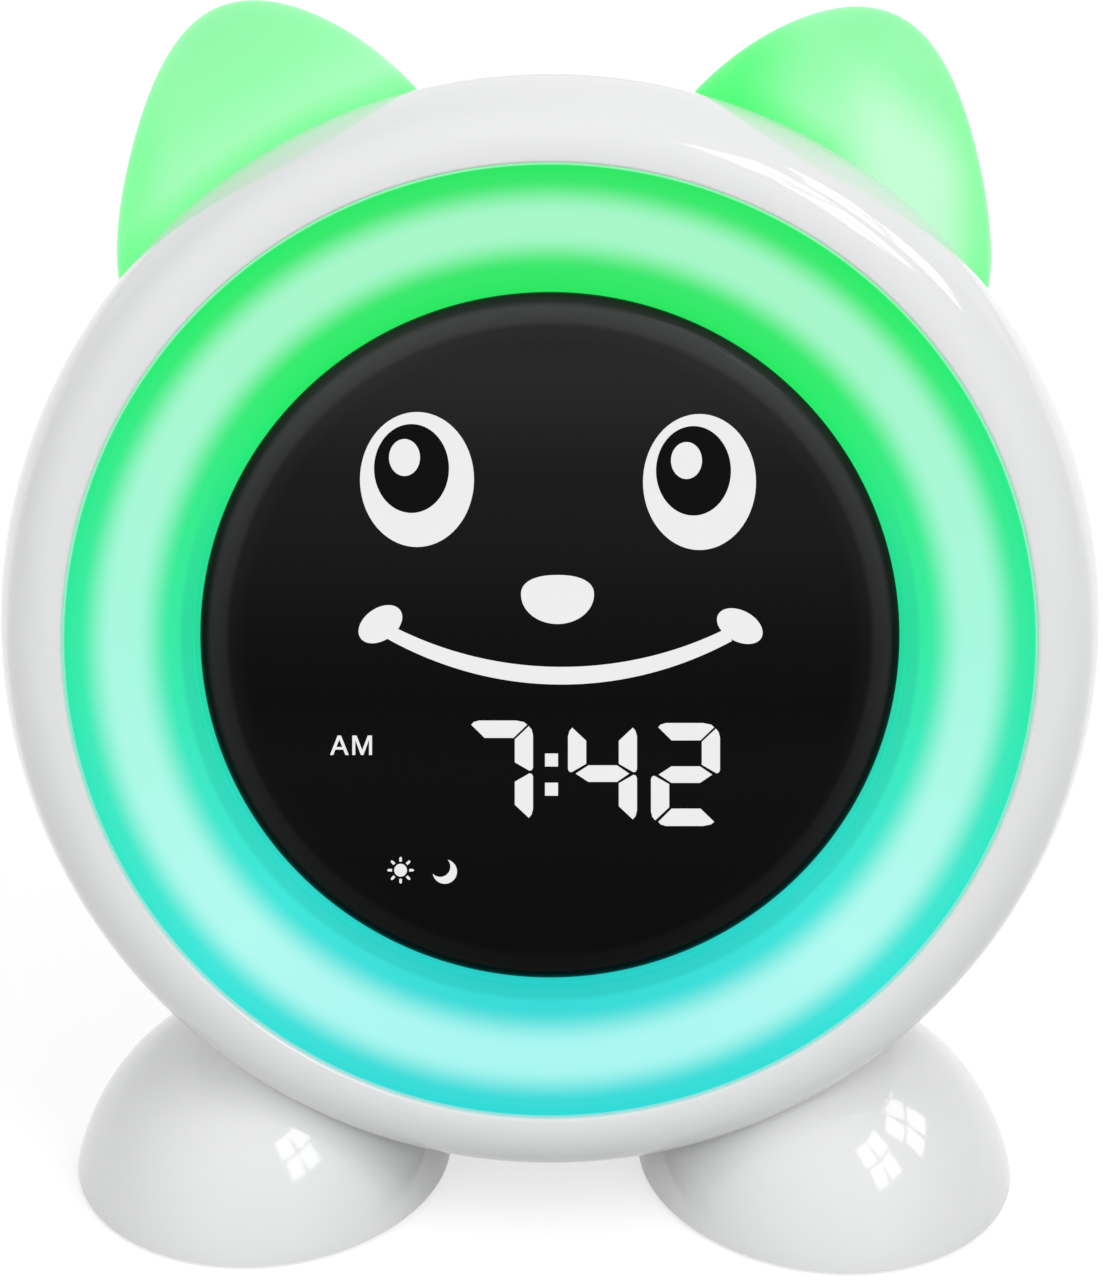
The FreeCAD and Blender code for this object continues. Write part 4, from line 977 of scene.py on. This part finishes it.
# Soft panels that shade the forms: name, place, width, height and power. The two windows of
# four panes each are seen only in the polish: direction and distance. All in metres and watts.
SOFT_PANELS = [("key_panel", (0.75, -0.55, 0.95), 0.9, 0.9, 6.2),
               ("side_panel", (-0.95, -0.5, 0.6), 0.7, 0.9, 3.2),
               ("top_panel", (0.0, 0.1, 1.1), 1.1, 0.7, 2.2),
               ("right_front_panel", (0.7, -0.95, 0.40), 0.5, 0.4, 3.0),
               ("left_front_panel", (-0.7, -0.95, 0.40), 0.5, 0.4, 2.8),
               ("back_panel", (0.35, 1.1, 0.75), 1.0, 0.8, 5.5)]
WINDOWS = [((0.475, -0.37, 0.80), 1.5), ((0.683, 0.09, 0.724), 1.5)]
PANE_SIZE, PANE_APART, PANE_POWER = (0.24, 0.30), (0.14, 0.17), 0.85
PANEL_AIM, WINDOW_AIM = (0, 0, 0.07), (0, 0, 0.03)
TABLE_HALF, TABLE_GLOW = 3.0, 0.66
ROOM_TINT, ROOM_POWER = (0.95, 0.97, 1.0, 1), 0.34
CLIP_NEAR, CLIP_FAR = 0.05, 20


def add_lamp(name, place, aim, wide, tall, power):
    lamp = bpy.data.lights.new(name, "AREA")
    lamp.shape = "RECTANGLE"
    lamp.size, lamp.size_y = wide, tall
    lamp.energy = power
    holder = bpy.data.objects.new(name, lamp)
    holder.location = place
    holder.rotation_mode = "QUATERNION"
    holder.rotation_quaternion = (Vector(aim) - Vector(place)).to_track_quat("-Z", "Y")
    bpy.context.scene.collection.objects.link(holder)
    return holder


class CLOCK_OT_stage(bpy.types.Operator):
    """Sets the pale floor, the soft lamps, the world and the camera"""
    bl_idname = "clock.stage"
    bl_label = "Studio"

    def execute(self, context):
        scene = context.scene
        scene.view_settings.view_transform = "Standard"
        floor_mesh = bpy.data.meshes.new("table_top")
        half = TABLE_HALF
        corners = [(-half, -half, 0), (half, -half, 0), (half, half, 0), (-half, half, 0)]
        floor_mesh.from_pydata(corners, [], [(0, 1, 2, 3)])
        floor = bpy.data.objects.new("table_top", floor_mesh)
        scene.collection.objects.link(floor)
        shade = Shade("pale_table", Roughness=0.9, Specular_IOR_Level=0.1)
        shade.tint((0.42, 0.42, 0.42), 0.01, 3)
        paths = shade.node("LightPath")
        seen = shade.maths("MAXIMUM", paths.outputs["Is Camera Ray"], shade.maths(
            "MAXIMUM", paths.outputs["Is Glossy Ray"], paths.outputs["Is Transmission Ray"]))
        shade.surface.inputs["Emission Color"].default_value = WHITE
        shade.link(shade.maths("MULTIPLY", seen, TABLE_GLOW), shade.surface.inputs["Emission Strength"])
        floor_mesh.materials.append(shade.material)

        world = bpy.data.worlds.new("pale_room")
        world.use_nodes = True
        scene.world = world
        tree = world.node_tree
        tree.nodes.clear()
        output = tree.nodes.new("ShaderNodeOutputWorld")
        paths = tree.nodes.new("ShaderNodeLightPath")
        most = []
        for first, second in (("Is Camera Ray", "Is Glossy Ray"), (None, "Is Transmission Ray")):
            joined = tree.nodes.new("ShaderNodeMath")
            joined.operation = "MAXIMUM"
            tree.links.new(paths.outputs[first] if first else most[0].outputs[0], joined.inputs[0])
            tree.links.new(paths.outputs[second], joined.inputs[1])
            most.append(joined)
        room, white = tree.nodes.new("ShaderNodeBackground"), tree.nodes.new("ShaderNodeBackground")
        room.inputs["Color"].default_value = ROOM_TINT
        room.inputs["Strength"].default_value = ROOM_POWER
        white.inputs["Color"].default_value = WHITE
        white.inputs["Strength"].default_value = 1.0
        mixed = tree.nodes.new("ShaderNodeMixShader")
        tree.links.new(most[1].outputs[0], mixed.inputs[0])
        tree.links.new(room.outputs[0], mixed.inputs[1])
        tree.links.new(white.outputs[0], mixed.inputs[2])
        tree.links.new(mixed.outputs[0], output.inputs[0])

        for name, place, wide, tall, power in SOFT_PANELS:
            panel = add_lamp(name, place, PANEL_AIM, wide, tall, power)
            panel.visible_glossy = False
        for index, (toward, reach) in enumerate(WINDOWS):
            heading = Vector(toward).normalized()
            centre = Vector(WINDOW_AIM) + heading * reach
            across = heading.cross(Vector((0, 0, 1))).normalized()
            upward = across.cross(heading)
            for column in (-1, 1):
                for row in (-1, 1):
                    place = centre + across * column * PANE_APART[0] + upward * row * PANE_APART[1]
                    name = "window_%d_pane_%d%d" % (index, (column + 1) // 2, (row + 1) // 2)
                    pane = add_lamp(name, place, WINDOW_AIM, *PANE_SIZE, PANE_POWER)
                    pane.visible_diffuse = False

        place, side, top, back = viewpoint()
        camera = bpy.data.objects.new("photo_camera", bpy.data.cameras.new("photo_camera"))
        scene.collection.objects.link(camera)
        turned = Matrix((side, top, back)).transposed().to_4x4()
        camera.matrix_world = Matrix.Translation(place) @ turned
        camera.data.sensor_width = SENSOR
        camera.data.lens = CAMERA_PIXELS / PHOTO_TALL * SENSOR
        camera.data.clip_start, camera.data.clip_end = CLIP_NEAR, CLIP_FAR
        scene.camera = camera
        return {"FINISHED"}


STEPS = [CLOCK_OT_stage, CLOCK_OT_carried_parts, CLOCK_OT_bezel, CLOCK_OT_ring, CLOCK_OT_lens,
         CLOCK_OT_face, CLOCK_OT_readout, CLOCK_OT_ears, CLOCK_OT_feet]


class CLOCK_PT_panel(bpy.types.Panel):
    """Lists the steps that dress the clock"""
    bl_label = "Night light clock"
    bl_idname = "CLOCK_PT_panel"
    bl_space_type = "VIEW_3D"
    bl_region_type = "UI"
    bl_category = "Clock"

    def draw(self, context):
        for step in STEPS:
            self.layout.operator(step.bl_idname)
        for settings in (context.scene.clock_shape, context.scene.clock_finish):
            for name in settings.__annotations__:
                self.layout.prop(settings, name)


CLASSES = [ClockShape, ClockFinish] + STEPS + [CLOCK_PT_panel]


def register():
    for item in CLASSES:
        bpy.utils.register_class(item)
    bpy.types.Scene.clock_shape = bpy.props.PointerProperty(type=ClockShape)
    bpy.types.Scene.clock_finish = bpy.props.PointerProperty(type=ClockFinish)


def unregister():
    del bpy.types.Scene.clock_finish
    del bpy.types.Scene.clock_shape
    for item in reversed(CLASSES):
        bpy.utils.unregister_class(item)


def main():
    register()
    for step in STEPS:
        group, name = step.bl_idname.split(".")
        getattr(getattr(bpy.ops, group), name)()


if __name__ == "__main__":
    main()
